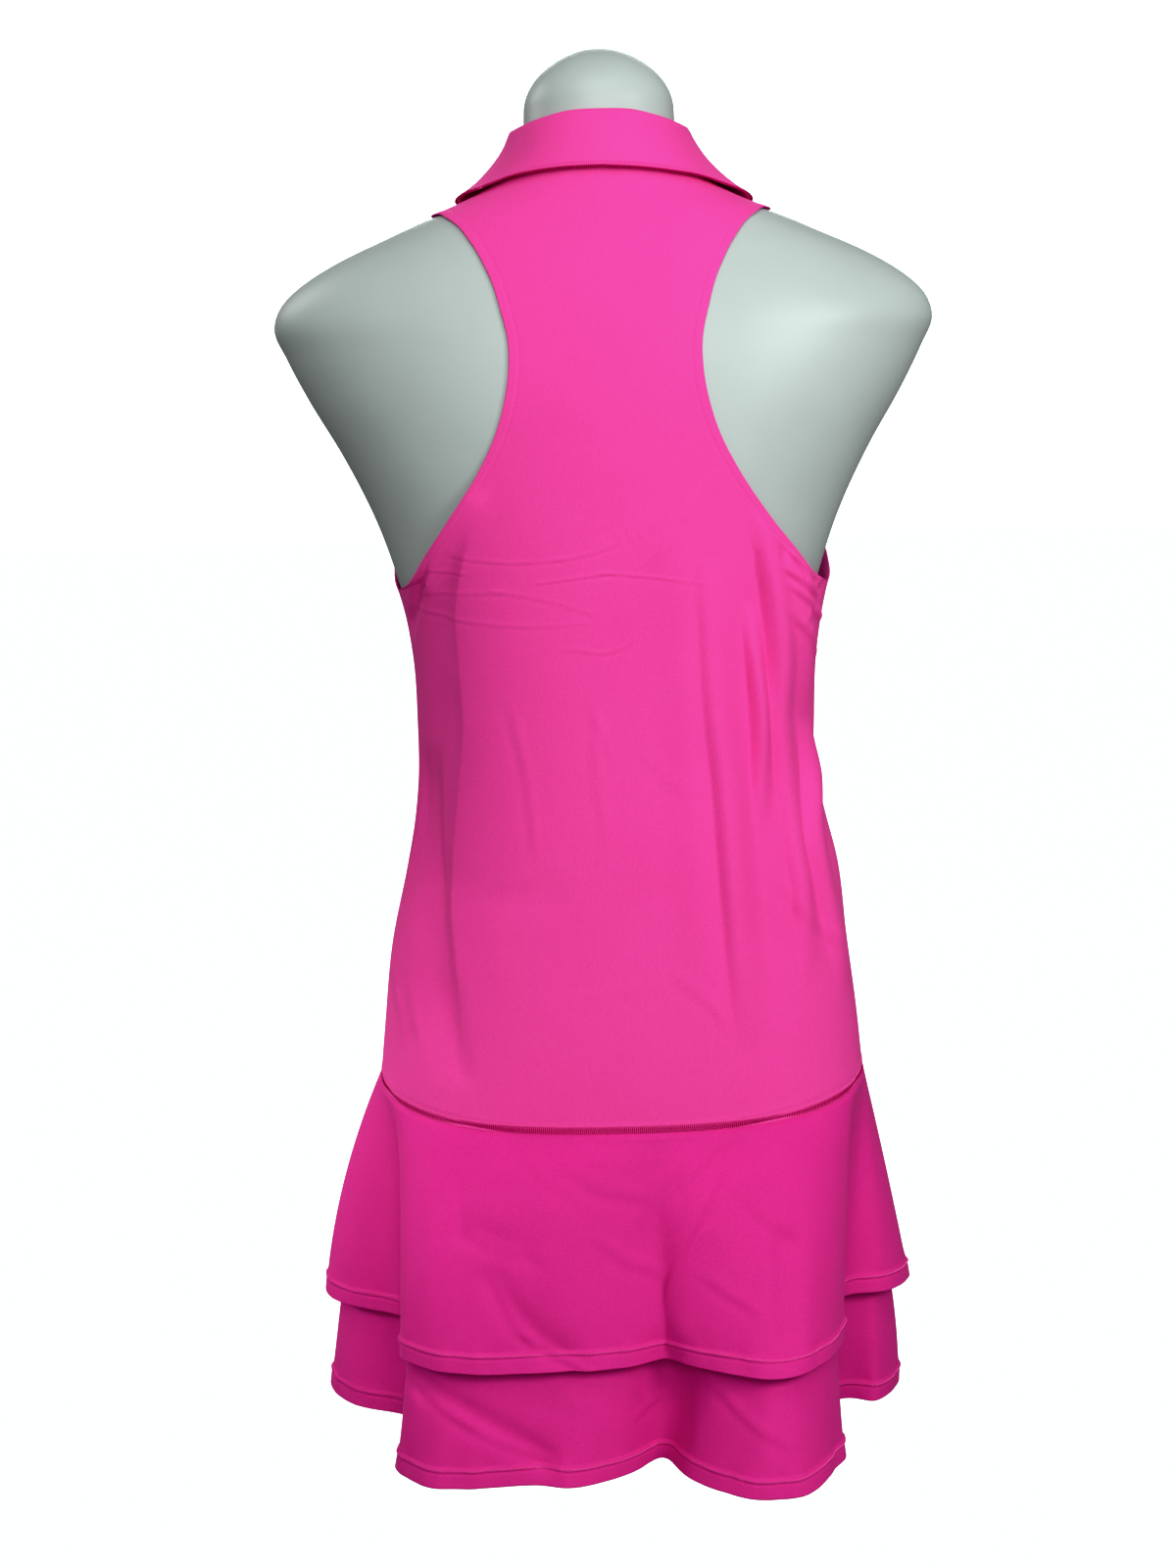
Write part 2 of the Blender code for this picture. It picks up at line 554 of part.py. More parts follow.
# ---------------------------------------------------------------------------------------------
# Bodice
# ---------------------------------------------------------------------------------------------
def back_neckline(share):
    """Height and turn along the back neckline, from the centre back (0) to the neck point (1)."""
    turn = share * SHOULDER_TURN
    height = smooth(column(BACK_NECK_COLUMNS_NAMED, BACK_NECK, "turn"),
                    column(BACK_NECK_COLUMNS_NAMED, BACK_NECK, "height"), turn)
    return height, turn


def front_neckline(share):
    """Height and turn from the centre front along the V of the neck (0) to the neck point (1)."""
    heights = np.concatenate([[NECK_POINT_HEIGHT], column(FRONT_NECK_COLUMNS_NAMED, FRONT_NECK, "height")])
    halves = column(FRONT_NECK_COLUMNS_NAMED, FRONT_NECK, "half_width")
    turns = turn_at(heights[1:], halves)
    turns = np.concatenate([[SHOULDER_TURN], turns])
    route = along_route(on_dress(heights, turns))
    distance = (1 - share) * route[-1]
    return smooth(route, heights, distance), smooth(route, turns, distance)


def panel_edge(armhole, side_turn, centre_ends, rows):
    """A panel's side edge from the waist seam to the shoulder: height, turn and centre height of each row.

    The side seam runs straight up at one turn, with SIDE_SEAM_ROWS rows. Above it the rows crowd along
    the armhole, which follows its table and ends on the ridge of the shoulder.
    """
    up = np.linspace(0, 1, SIDE_SEAM_ROWS, endpoint=False)
    start = waist_seam_height(side_turn)
    seam = (start + (UNDERARM_HEIGHT - start) * up, np.full(SIDE_SEAM_ROWS, side_turn),
            WAIST_SEAM_HEIGHT + (centre_ends[0] - WAIST_SEAM_HEIGHT) * up)
    heights = column(ARMHOLE_COLUMNS_NAMED, armhole, "height")
    turns = turn_at(heights, column(ARMHOLE_COLUMNS_NAMED, armhole, "half_width"))
    centres = column(ARMHOLE_COLUMNS_NAMED, armhole, "centre_height")
    heights = np.concatenate([[UNDERARM_HEIGHT], heights, [SHOULDER_HEIGHT]])
    turns = np.concatenate([[side_turn], turns, [SHOULDER_TURN]])
    centres = np.concatenate([centre_ends[:1], centres, centre_ends[1:]])
    route = along_route(on_dress(heights, turns))
    distance = route[-1] * (1 - np.linspace(1, 0, rows - SIDE_SEAM_ROWS) ** ROW_CROWDING)
    hole = (smooth(route, values, distance) for values in (heights, turns, centres))
    return [np.concatenate(pair)[:, None] for pair in zip(seam, hole)]


def panel_grid(armhole, side_turn, centre_ends, neckline, neck_share, columns, rows, front):
    """Points of a bodice panel on the body line, from its left edge to its right and upwards.

    Below the narrowest row the rows run round the body by equal turns, dipping or rising to the centre.
    Above it each row is a parabola from edge to edge, and the rows bend into the top edge, which is
    shoulder seam, neckline and shoulder seam. All are settled on the body line.
    """
    def place(height, turn):
        return on_dress(height, 180.0 - turn if front else turn)

    edge_height, edge_turn, centre = panel_edge(armhole, side_turn, centre_ends, rows)
    u = np.linspace(-1, 1, columns)
    turn = edge_turn * u
    height = edge_height + (centre - edge_height) * (1 - u ** 2)
    height[0] = waist_seam_height(turn[0])
    by_turn = place(height, turn)
    middle = place(centre, np.zeros_like(centre))
    left, right = by_turn[:, :1], by_turn[:, -1:]
    across = u[None, :, None]
    parabola = middle + (right - left) / 2 * across + ((right + left) / 2 - middle) * across ** 2
    narrowest = int(np.argmin(edge_turn[:, 0]))
    rise = np.clip((np.arange(rows) - narrowest) / (rows - 1 - narrowest), 0, 1)[:, None, None]
    grid = by_turn + (parabola - by_turn) * np.minimum(rise * STRAIGHTENING, 1.0)
    neck_height, neck_turn = neckline(np.minimum(np.abs(u) / neck_share, 1.0))
    on_shoulder = np.clip((np.abs(u) - neck_share) / (1 - neck_share), 0, 1)
    top_height = neck_height + (SHOULDER_HEIGHT - NECK_POINT_HEIGHT) * on_shoulder
    top = place(top_height, np.sign(u) * neck_turn)
    grid = grid + (top - grid[-1]) * rise ** TOP_BEND
    grid[1:-1, 1:-1] = settled(grid[1:-1, 1:-1])
    return grid


def make_bodice_panel(name, grid):
    """A bodice panel: its grid on the body line, moved out by its folds, as a wall."""
    seam = waist_seam_height(np.degrees(np.arctan2(grid[..., 0], -grid[..., 1])))
    fade = np.clip((grid[..., 2] - seam) / FOLD_FADE, 0, 1)
    folds = fold_height(name, grid[..., 0], grid[..., 2]) * fade
    lift = eased(grid, CLOTH_LIFT + folds)[..., None]
    normal = outward(grid)
    return cloth_wall(name, grid + normal * (lift + WALL), grid + normal * lift, PINK_JERSEY)


def make_bodice():
    """Back panel with its cut-in armholes, and front panel with its open V neck."""
    make_bodice_panel("bodice_back", panel_grid(
        BACK_ARMHOLE, SIDE_SEAM_TURN, BACK_CENTRE_ENDS, back_neckline, BACK_NECK_SHARE,
        BACK_COLUMNS, BACK_ROWS, front=False))
    make_bodice_panel("bodice_front", panel_grid(
        FRONT_ARMHOLE, 180.0 - SIDE_SEAM_TURN - SIDE_SEAM_PARTING, FRONT_CENTRE_ENDS, front_neckline,
        FRONT_NECK_SHARE, FRONT_COLUMNS, FRONT_ROWS, front=True))


# ---------------------------------------------------------------------------------------------
# Collar
# ---------------------------------------------------------------------------------------------
def neckline_route(station):
    """Height and turn of the whole half neckline: 0 centre back, 0.5 neck point, 1 point of the V."""
    behind = station <= 0.5
    back_height, back_turn = back_neckline(np.minimum(station * 2, 1.0))
    front_height, front_turn = front_neckline(np.clip(2 - station * 2, 0.0, 1.0))
    return (np.where(behind, back_height, front_height),
            np.where(behind, back_turn, 180.0 - front_turn))


def collar_middle(station, draw, rise):
    """Points of the middle of the collar at stations along one half: a row for each step of its profile.

    The profile rises from the neckline seam along the stand, turns over the roll and runs down the leaf
    to the leaf's edge, which a half may draw in and raise a little.
    """
    stations = column(COLLAR_COLUMNS_NAMED, COLLAR_STATIONS, "station")
    stand, lean, crown, lift = (
        smooth(stations, column(COLLAR_COLUMNS_NAMED, COLLAR_STATIONS, name), station)
        for name in ("stand", "lean", "crown", "lift"))
    held = np.minimum(stations / LEFT_LEAF_START, 1.0)
    edge_heights = column(COLLAR_COLUMNS_NAMED, COLLAR_STATIONS, "edge_height") + rise * held
    edge_halves = column(COLLAR_COLUMNS_NAMED, COLLAR_STATIONS, "edge_half_width") * (1 - draw * held)
    edge_turns = turn_at(edge_heights, edge_halves,
                         column(COLLAR_COLUMNS_NAMED, COLLAR_STATIONS, "front") > 0)
    edge = lifted(smooth(stations, edge_heights, station), smooth(stations, edge_turns, station), lift)
    height, turn = neckline_route(station)
    middle_lift = CLOTH_LIFT + WALL / 2
    seam = lifted(height, turn, middle_lift)
    normal = lifted(height, turn, middle_lift + 0.001) - seam
    normal /= np.linalg.norm(normal, axis=-1, keepdims=True)
    route = np.gradient(seam, axis=0)
    route /= np.linalg.norm(route, axis=-1, keepdims=True)
    opening = np.cross(normal, route)
    opening /= np.linalg.norm(opening, axis=-1, keepdims=True)
    lean = np.radians(lean)[:, None]
    up = np.cos(lean) * opening + np.sin(lean) * normal
    out = np.cos(lean) * normal - np.sin(lean) * opening
    start = seam + opening * COLLAR_GAP + up * (WALL / 2 * np.sin(lean))
    stand = stand[:, None]
    roll = COLLAR_ROLL
    fold = start + out * 2 * roll + up * (stand - roll)
    crown = normal * crown[:, None]
    stand_up = [start, start + up * (stand - roll) * 0.5, start + up * (stand - roll)]
    turn_over = [start + up * (stand - roll * 0.13) + out * roll * share for share in (0.5, 1.5)]
    leaf = [fold + (edge - fold) * share + crown * 4 * share * (1 - share)
            for share in LEAF_STEPS]
    leaf[2:] = [held_off(points, LEAF_CLEARANCE) for points in leaf[2:]]
    return np.stack(stand_up + turn_over + leaf)


def make_collar():
    """The collar, one strip from one side of the V round the neck to the other, folded over its stand."""
    half = np.linspace(0.0, COLLAR_END, COLLAR_COLUMNS // 2 + 1)
    right = collar_middle(half, 0.0, 0.0)
    left = collar_middle(half, LEFT_LEAF_DRAW, LEFT_LEAF_RISE)[:, :0:-1] * np.array([-1.0, 1.0, 1.0])
    middle = np.concatenate([left, right], axis=1)
    steps = np.linspace(0, 1, len(middle))
    spread = np.linspace(0, 1, COLLAR_ROWS)
    spans = np.minimum((spread * (len(steps) - 1)).astype(int), len(steps) - 2)
    share = (spread * (len(steps) - 1) - spans)[:, None, None]
    middle = middle[spans] * (1 - share) + middle[spans + 1] * share
    normal = grid_normals(middle)
    return cloth_wall("collar", middle + normal * WALL / 2, middle - normal * WALL / 2, PINK_JERSEY)


# ---------------------------------------------------------------------------------------------
# Skirt tiers
# ---------------------------------------------------------------------------------------------
def hem_curve(tier, turn):
    """Point of a tier's hem at a turn: the smooth closed curve through the rows of the hem table."""
    rows = HEM_FOLDS[-3:] + HEM_FOLDS + HEM_FOLDS[:3]
    turns = column(HEM_COLUMNS_NAMED, rows, "turn")
    turns[:3] -= FULL_TURN
    turns[-3:] += FULL_TURN
    return np.stack([smooth(turns, column(HEM_COLUMNS_NAMED, rows, f"{tier}_{axis}"), turn)
                     for axis in ("x", "y", "height")], axis=-1)


def level_normal(form, turn, v):
    """Level normal of a tier's form: a short step round it, turned a quarter outwards."""
    swing = 0.2
    along = form(turn + swing, v) - form(turn - swing, v)
    normal = np.stack([along[..., 1], -along[..., 0], np.zeros(along.shape[:2])], axis=-1)
    return normal / np.linalg.norm(normal, axis=-1, keepdims=True)


def tier_turns(side):
    """Turns of the tiers' columns from one side seam to the other, evenly spaced along the hems."""
    first, last = TIER_SIDES[side]
    turns = np.linspace(first + TIER_SIDE_PARTING, last - TIER_SIDE_PARTING, 721)
    distance = along_route(hem_curve("upper", turns)) + along_route(hem_curve("lower", turns))
    return np.interp(np.linspace(0, distance[-1], TIER_COLUMNS + 1), distance, turns)


def upper_form(turn, v):
    """Middle of the upper tier's wall at shares v of the way from the waist seam to its hem.

    The plan point goes from the seam to the hem by the share v (flare - (flare - 1) v), and the height
    falls evenly. Beyond the hem (v over 1) it is where the same cloth would hang if it were longer.
    """
    top = lifted(waist_seam_height(turn), turn, np.full(turn.shape, TIER_TOP_LIFT))
    top[:, 2] = waist_seam_height(turn) - SEAM_GAP
    hem = hem_curve("upper", turn)
    flare = UPPER_FLARE - UPPER_FLARE_LEAN * np.sin(np.radians(turn))
    out = v * (flare - (flare - 1) * v)
    share = np.stack([out, out, v], axis=-1)
    return top + (hem - top) * share


def lower_form(turn, v):
    """Middle of the lower tier's wall at shares v of its own height.

    It hangs inside the upper tier's form by a gap that widens down to the upper hem, and swings from
    there to its own hem.
    """
    seam = waist_seam_height(turn) - SEAM_GAP
    hem = hem_curve("lower", turn)
    upper_hem = hem_curve("upper", turn)[:, 2]
    height = seam + (hem[:, 2] - seam) * v
    reach = (seam - height) / (seam - upper_hem)
    gap = LAYER_GAP_TOP + (LAYER_GAP_HEM - LAYER_GAP_TOP) * np.minimum(reach, 1.0)
    outside = upper_form(turn, reach)
    inside = outside - level_normal(upper_form, turn, reach) * gap[..., None]
    swing = np.clip((reach - LOWER_SWING_START) / (reach[-1] - LOWER_SWING_START), 0, 1)
    swing = (swing ** LOWER_SWING_POWER)[..., None]
    inside = inside + (hem - inside[-1]) * swing
    inside[..., 2] = height
    return inside


def make_tier(tier, side, form, rows):
    """A tier panel: its folds push it out level, and its wall has the same width at every height.

    The upper tier's folds press the lower one in behind them.
    """
    name = f"{tier}_tier_{side}"
    turn = tier_turns(side)
    v = np.broadcast_to(np.linspace(0, 1, rows + 1)[:, None], (rows + 1, len(turn)))
    middle = form(turn, v)
    level = level_normal(form, turn, v)
    folds = fold_height(name, middle[..., 0], middle[..., 2])
    if tier == "lower":
        folds = folds + fold_height(f"upper_tier_{side}", middle[..., 0], middle[..., 2])
    folds[0] = 0.0
    middle = middle + level * folds[..., None]
    return cloth_wall(name, middle + level * WALL / 2, middle - level * WALL / 2, PINK_JERSEY)


def make_skirt():
    """Two tiers sewn into one seam, each a back and a front panel that meet at the side seams."""
    for side in TIER_SIDES:
        make_tier("upper", side, upper_form, UPPER_ROWS)
        make_tier("lower", side, lower_form, LOWER_ROWS)


def main():
    for thing in list(bpy.data.objects):
        bpy.data.objects.remove(thing, do_unlink=True)
    make_form()
    make_bodice()
    make_collar()
    make_skirt()


main()
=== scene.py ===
"""A sleeveless racerback athletic dress of hot pink stretch jersey, with a turned-down collar and a skirt
of two flared tiers, on a smooth limbless dress form.

Metres, +Z up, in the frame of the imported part. The back of the dress faces -Y. A place on the body is
named by its height and its turn: 0 degrees is the centre back, 90 the right-hand side as seen from
behind (+X), -90 the left-hand side and 180 the centre front.
"""

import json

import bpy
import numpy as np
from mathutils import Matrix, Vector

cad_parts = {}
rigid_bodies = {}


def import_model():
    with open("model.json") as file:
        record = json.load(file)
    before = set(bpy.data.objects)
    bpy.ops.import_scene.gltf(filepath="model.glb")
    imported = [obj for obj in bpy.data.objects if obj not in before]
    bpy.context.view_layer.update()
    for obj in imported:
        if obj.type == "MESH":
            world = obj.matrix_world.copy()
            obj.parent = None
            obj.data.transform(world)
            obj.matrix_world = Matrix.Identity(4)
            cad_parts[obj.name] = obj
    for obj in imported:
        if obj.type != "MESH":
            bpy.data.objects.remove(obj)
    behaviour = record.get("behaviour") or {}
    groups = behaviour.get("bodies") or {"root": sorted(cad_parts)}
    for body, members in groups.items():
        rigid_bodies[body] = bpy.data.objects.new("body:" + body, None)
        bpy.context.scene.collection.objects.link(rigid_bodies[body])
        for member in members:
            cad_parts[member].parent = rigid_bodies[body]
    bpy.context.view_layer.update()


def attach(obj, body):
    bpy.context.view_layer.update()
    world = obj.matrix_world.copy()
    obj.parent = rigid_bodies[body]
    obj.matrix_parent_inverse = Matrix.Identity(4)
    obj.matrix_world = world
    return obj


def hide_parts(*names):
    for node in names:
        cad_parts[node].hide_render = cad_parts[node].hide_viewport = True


bl_info = {
    "name": "Athletic dress on a dress form",
    "version": (1, 0, 0),
    "blender": (4, 5, 0),
    "location": "3D View > Sidebar > Dress",
    "description": "Builds a jersey dress with its sewing on a dress form, and the studio round it",
    "category": "Object",
}

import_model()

BODY = "root"
MM = 0.001

# ---- The dress and the form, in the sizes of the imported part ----
# Single sizes are in metres. Tables are in millimetres, but for the columns of PLAIN_COLUMNS: turns and
# leans are in degrees, stations are shares of the half neckline, and the others are pure numbers.
PLAIN_COLUMNS = {"turn", "lean", "station", "on_front", "roundness"}


def table(names, *rows):
    """The columns of a table by their names, as arrays, with the lengths in metres."""
    return {name: values if name in PLAIN_COLUMNS else values * MM
            for name, values in zip(names.split(), np.array(rows, dtype=float).T)}


SIDE_SEAM_TURN = 79.0
SHOULDER_TURN = 89.86
SIDE_SEAM_PARTING = 0.05
UNDERARM_HEIGHT = 0.555
SHOULDER_HEIGHT = 0.7922
NECK_POINT_HEIGHT = 0.818
WAIST_SEAM_HEIGHT = 0.214
WAIST_SEAM_RISE = 0.017
UPPER_FLARE = 1.35
UPPER_FLARE_LEAN = 0.25
TIER_TOP_LIFT = 0.0022
LAYER_GAP_TOP = 0.0029
LAYER_GAP_HEM = 0.0120
LAYER_GAP_FOLDS = 0.0035    # the same at the outer folds, which the lower tier follows closely
OUTER_FOLD_TURNS = (-57.0, 57.0, 123.0, 235.0)
LOWER_SWING_START = 0.5
LOWER_SWING_POWER = 3.4
NECK_TOP = 0.897
DOME_START = 0.857
DOME_POWER = 0.6
BASE_ROUNDING = 0.003
FORM_ROUNDNESS = 2.2
FULL_TURN = 360.0

FORM = table(
    "height half_width back front",
    (0, 108, 80, 76),
    (80, 123, 90, 84),
    (150, 137, 100, 90),
    (215, 147, 105, 94),
    (290, 142, 98.5, 92),
    (360, 126, 87, 88),
    (430, 118, 80, 86),
    (500, 124, 85, 96),
    (560, 138, 94, 112),
    (600, 151.5, 99, 119),
    (640, 170.5, 102, 114),
    (680, 193.5, 102, 104),
    (705, 206, 100, 96),
    (724, 213.5, 97, 88),
    (742.5, 205, 92, 79),
    (755, 189, 87, 72),
    (767.5, 166, 82, 66),
    (777.5, 143, 78, 62),
    (787.5, 120, 73.5, 58.5),
    (797, 95, 69, 56),
    (806.5, 75, 65.5, 54),
    (813.5, 65, 63, 52.5),
    (820, 58, 60.5, 51),
    (829, 53, 57, 49),
    (838, 49.8, 53.5, 47),
    (857, 48.4, 49.5, 45.5),
)

HANGING = table(
    "height left right back front roundness",
    (205, 160.3, 164.4, 112.5, 106.5, 2.5),
    (231, 158.3, 161.9, 112, 105.5, 2.5),
    (265, 154.8, 158.9, 110.5, 104, 2.42),
    (319, 148.3, 152.4, 107, 101.5, 2.35),
    (372, 136.3, 146.4, 103, 99.5, 2.3),
    (400, 130.8, 139.4, 101, 98.5, 2.3),
    (430, 127.3, 132.9, 99, 98.5, 2.3),
    (470, 126.8, 132.4, 98, 101.5, 2.3),
    (510, 128.3, 134.4, 98.5, 108, 2.3),
    (542, 133.3, 139.4, 99.5, 115, 2.3),
    (560, 138.3, 143.6, 100, 119, 2.3),
    (600, 151.8, 152.3, 101, 121.5, 2.3),
)

BACK_ARMHOLE = table(
    "height half_width centre_height",
    (561, 130.5, 568),
    (583, 112, 588),
    (606, 94, 608),
    (630, 78.5, 630),
    (654, 67, 652),
    (689, 59, 686),
    (724, 62.5, 720),
    (748, 70, 744),
    (769, 81, 766),
    (780, 89, 782),
    (788, 98.5, 800),
)
BACK_CENTRE_ENDS = (0.5600, 0.8215)
FRONT_ARMHOLE = table(
    "height half_width centre_height",
    (575, 142, 539),
    (600, 133, 557),
    (640, 125, 584),
    (680, 120, 611),
    (720, 117, 638),
    (750, 114, 659),
    (772, 111.5, 677),
    (786, 109.5, 690),
)
FRONT_CENTRE_ENDS = (0.5260, 0.7000)

BACK_NECK = table(
    "turn height",
    (0, 821.5),
    (45, 820.5),
    (SHOULDER_TURN, NECK_POINT_HEIGHT / MM),
)
FRONT_NECK = table(
    "height half_width",
    (808, 58),
    (795, 53),
    (770, 41),
    (740, 24.5),
    (715, 9),
    (700, 0),
)
BACK_NECK_SHARE = 0.62
FRONT_NECK_SHARE = 0.72
TOP_BEND = 1.6
STRAIGHTENING = 3.0

COLLAR = table(
    "station stand lean crown edge_height edge_half_width on_front lift",
    (0, 27.8, 8, 1.5, 813.4, 0, 0, 6.2),
    (0.12, 28, 8.5, 1.5, 812, 21, 0, 6),
    (0.2, 26.4, 12, 1, 810.5, 33, 0, 6),
    (0.28, 25, 18, 0, 808.6, 45, 0, 6),
    (0.38, 24.2, 26, -2, 805.8, 62, 0, 5.8),
    (0.45, 25, 31, -4, 801.3, 78.5, 0, 5.8),
    (0.5, 25.1, 34, -3.5, 798.8, 88.5, 0, 6.1),
    (0.55, 23.3, 36, -1, 795.2, 94.5, 1, 6.4),
    (0.62, 20, 40, 0, 783, 97, 1, 6),
    (0.74, 15, 46, 2.5, 756, 86, 1, 5),
    (0.86, 10.5, 55, 3, 725, 72, 1, 4.8),
    (0.95, 8, 62, 3, 706, 56, 1, 4.6),
    (1, 7, 66, 3, 696, 24, 1, 4.6),
)
COLLAR_GAP = 0.0009
COLLAR_ROLL = 0.0015
LEAF_CLEARANCE = 0.0042
LEFT_LEAF_DRAW = 0.10
LEFT_LEAF_RISE = 0.0020
LEFT_LEAF_START = 0.28
COLLAR_END = 0.965

HEMS = table(
    "turn upper_x upper_y upper_height lower_x lower_y lower_height",
    (-90, -203.5, 0, 79, -203, 2, 10),
    (-80, -190, -31, 78, -186, -33, 8),
    (-71, -150, -54, 77, -149, -49, 6),
    (-65, -125, -73, 77, -108, -68, 6),
    (-60, -138.5, -100, 77, -136, -98, 6),
    (-55, -143, -124, 77, -148, -125, 5),
    (-47, -127, -147, 77, -131, -156, 5),
    (-36, -98, -159.5, 77, -105, -164, 5),
    (-22, -57, -160, 77, -62, -163, 6),
    (-8, -21, -158.5, 77, -28, -164, 5),
    (0, 3, -152, 77, 0, -147, 5),
    (8, 25, -139.5, 77, 22, -127, 6),
    (15, 40, -152, 77, 36, -154, 5),
    (25, 68, -171, 77, 60, -179, 5),
    (37, 93, -178, 77, 85, -187, 4),
    (46, 112, -166, 77, 110, -179, 4),
    (54, 131, -136, 77, 127, -150, 5),
    (60, 138, -107, 78, 136.5, -120, 5),
    (66, 127, -75, 79, 108, -68, 5),
    (72, 146, -49, 81, 143, -38, 5),
    (80, 175, -40, 81, 168, -39, 4),
    (90, 195.5, -2, 78, 188, -1, 4),
    (101, 178, 33, 78, 169, 34, 7),
    (109, 146, 53, 77, 144, 48, 6),
    (116, 126, 70, 77, 108, 66, 6),
    (122, 138, 100, 77, 134, 98, 6),
    (131, 126, 136, 78, 126, 142, 6),
    (145, 86, 153, 78, 88, 160, 6),
    (159, 44, 148, 78, 46, 154, 6),
    (169, 18, 133, 78, 18, 122, 7),
    (178, -8, 144, 78, -10, 150, 6),
    (192, -46, 157, 78, -45, 166, 6),
    (208, -87, 159, 78, -86, 168, 6),
    (223, -121, 141, 78, -119, 148, 6),
    (234, -137, 108, 78, -134, 106, 6),
    (243, -126, 73, 78, -108, 68, 6),
    (250, -150, 52, 78, -148, 48, 7),
    (260, -188, 30, 79, -185, 32, 10),
)
TIER_SIDES = {"back": (-90.0, 90.0), "front": (90.0, 270.0)}

# Large drape folds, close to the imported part's. Each row is x and z of one end, x and z of the other, how
# far the line between them bows sideways, the fold's width, and its depth, negative for a trough.
FOLDS = {
    "bodice_back": (
        (44, 620, 62, 240, 4, 13, 2.6),
        (-84, 610, -117, 562, 3, 8, 2.5),
        (-103, 602, -119, 300, 4, 9, -1.8),
        (-110, 372, -40, 364, 3, 12, -0.8),
        (-106, 300, -100, 250, 0, 7, -2),
    ),
    "bodice_front": (
        (62, 575, 88, 250, 4, 11, 3.5),
        (80, 560, 106, 280, 4, 10, -3.5),
        (-64, 575, -90, 260, -4, 11, 3),
        (-84, 550, -108, 300, -4, 10, -3),
        (20, 520, 30, 300, 3, 12, -2),
        (135, 600, 146, 580, 0, 12, 6),
        (-135, 600, -146, 580, 0, 12, 7),
    ),
    "upper_tier_back": (
        (70, 203, 38, 180, 2, 8, -2.6),
        (40, 175, 34, 105, 0, 24, 6),
        (100, 146, 101, 102, 2, 10, -4),
        (-82, 130, -34, 82, 4, 9, -3),
        (-100, 160, -60, 149, 0, 8, -2),
    ),
    "lower_tier_back": (
        (-132, 64, -54, 22, -3, 8, -3),
    ),
    "upper_tier_front": (
        (-70, 200, -40, 160, 2, 9, -3),
        (80, 140, 86, 100, 2, 10, -3.5),
    ),
    "lower_tier_front": (
        (100, 62, 50, 26, 3, 8, -2.5),
    ),
}
FOLD_FADE = 0.02           # height above the waist seam over which the bodice's folds grow
LONG_FOLD = 0.1            # a fold longer than this grows and fades over its first and last third

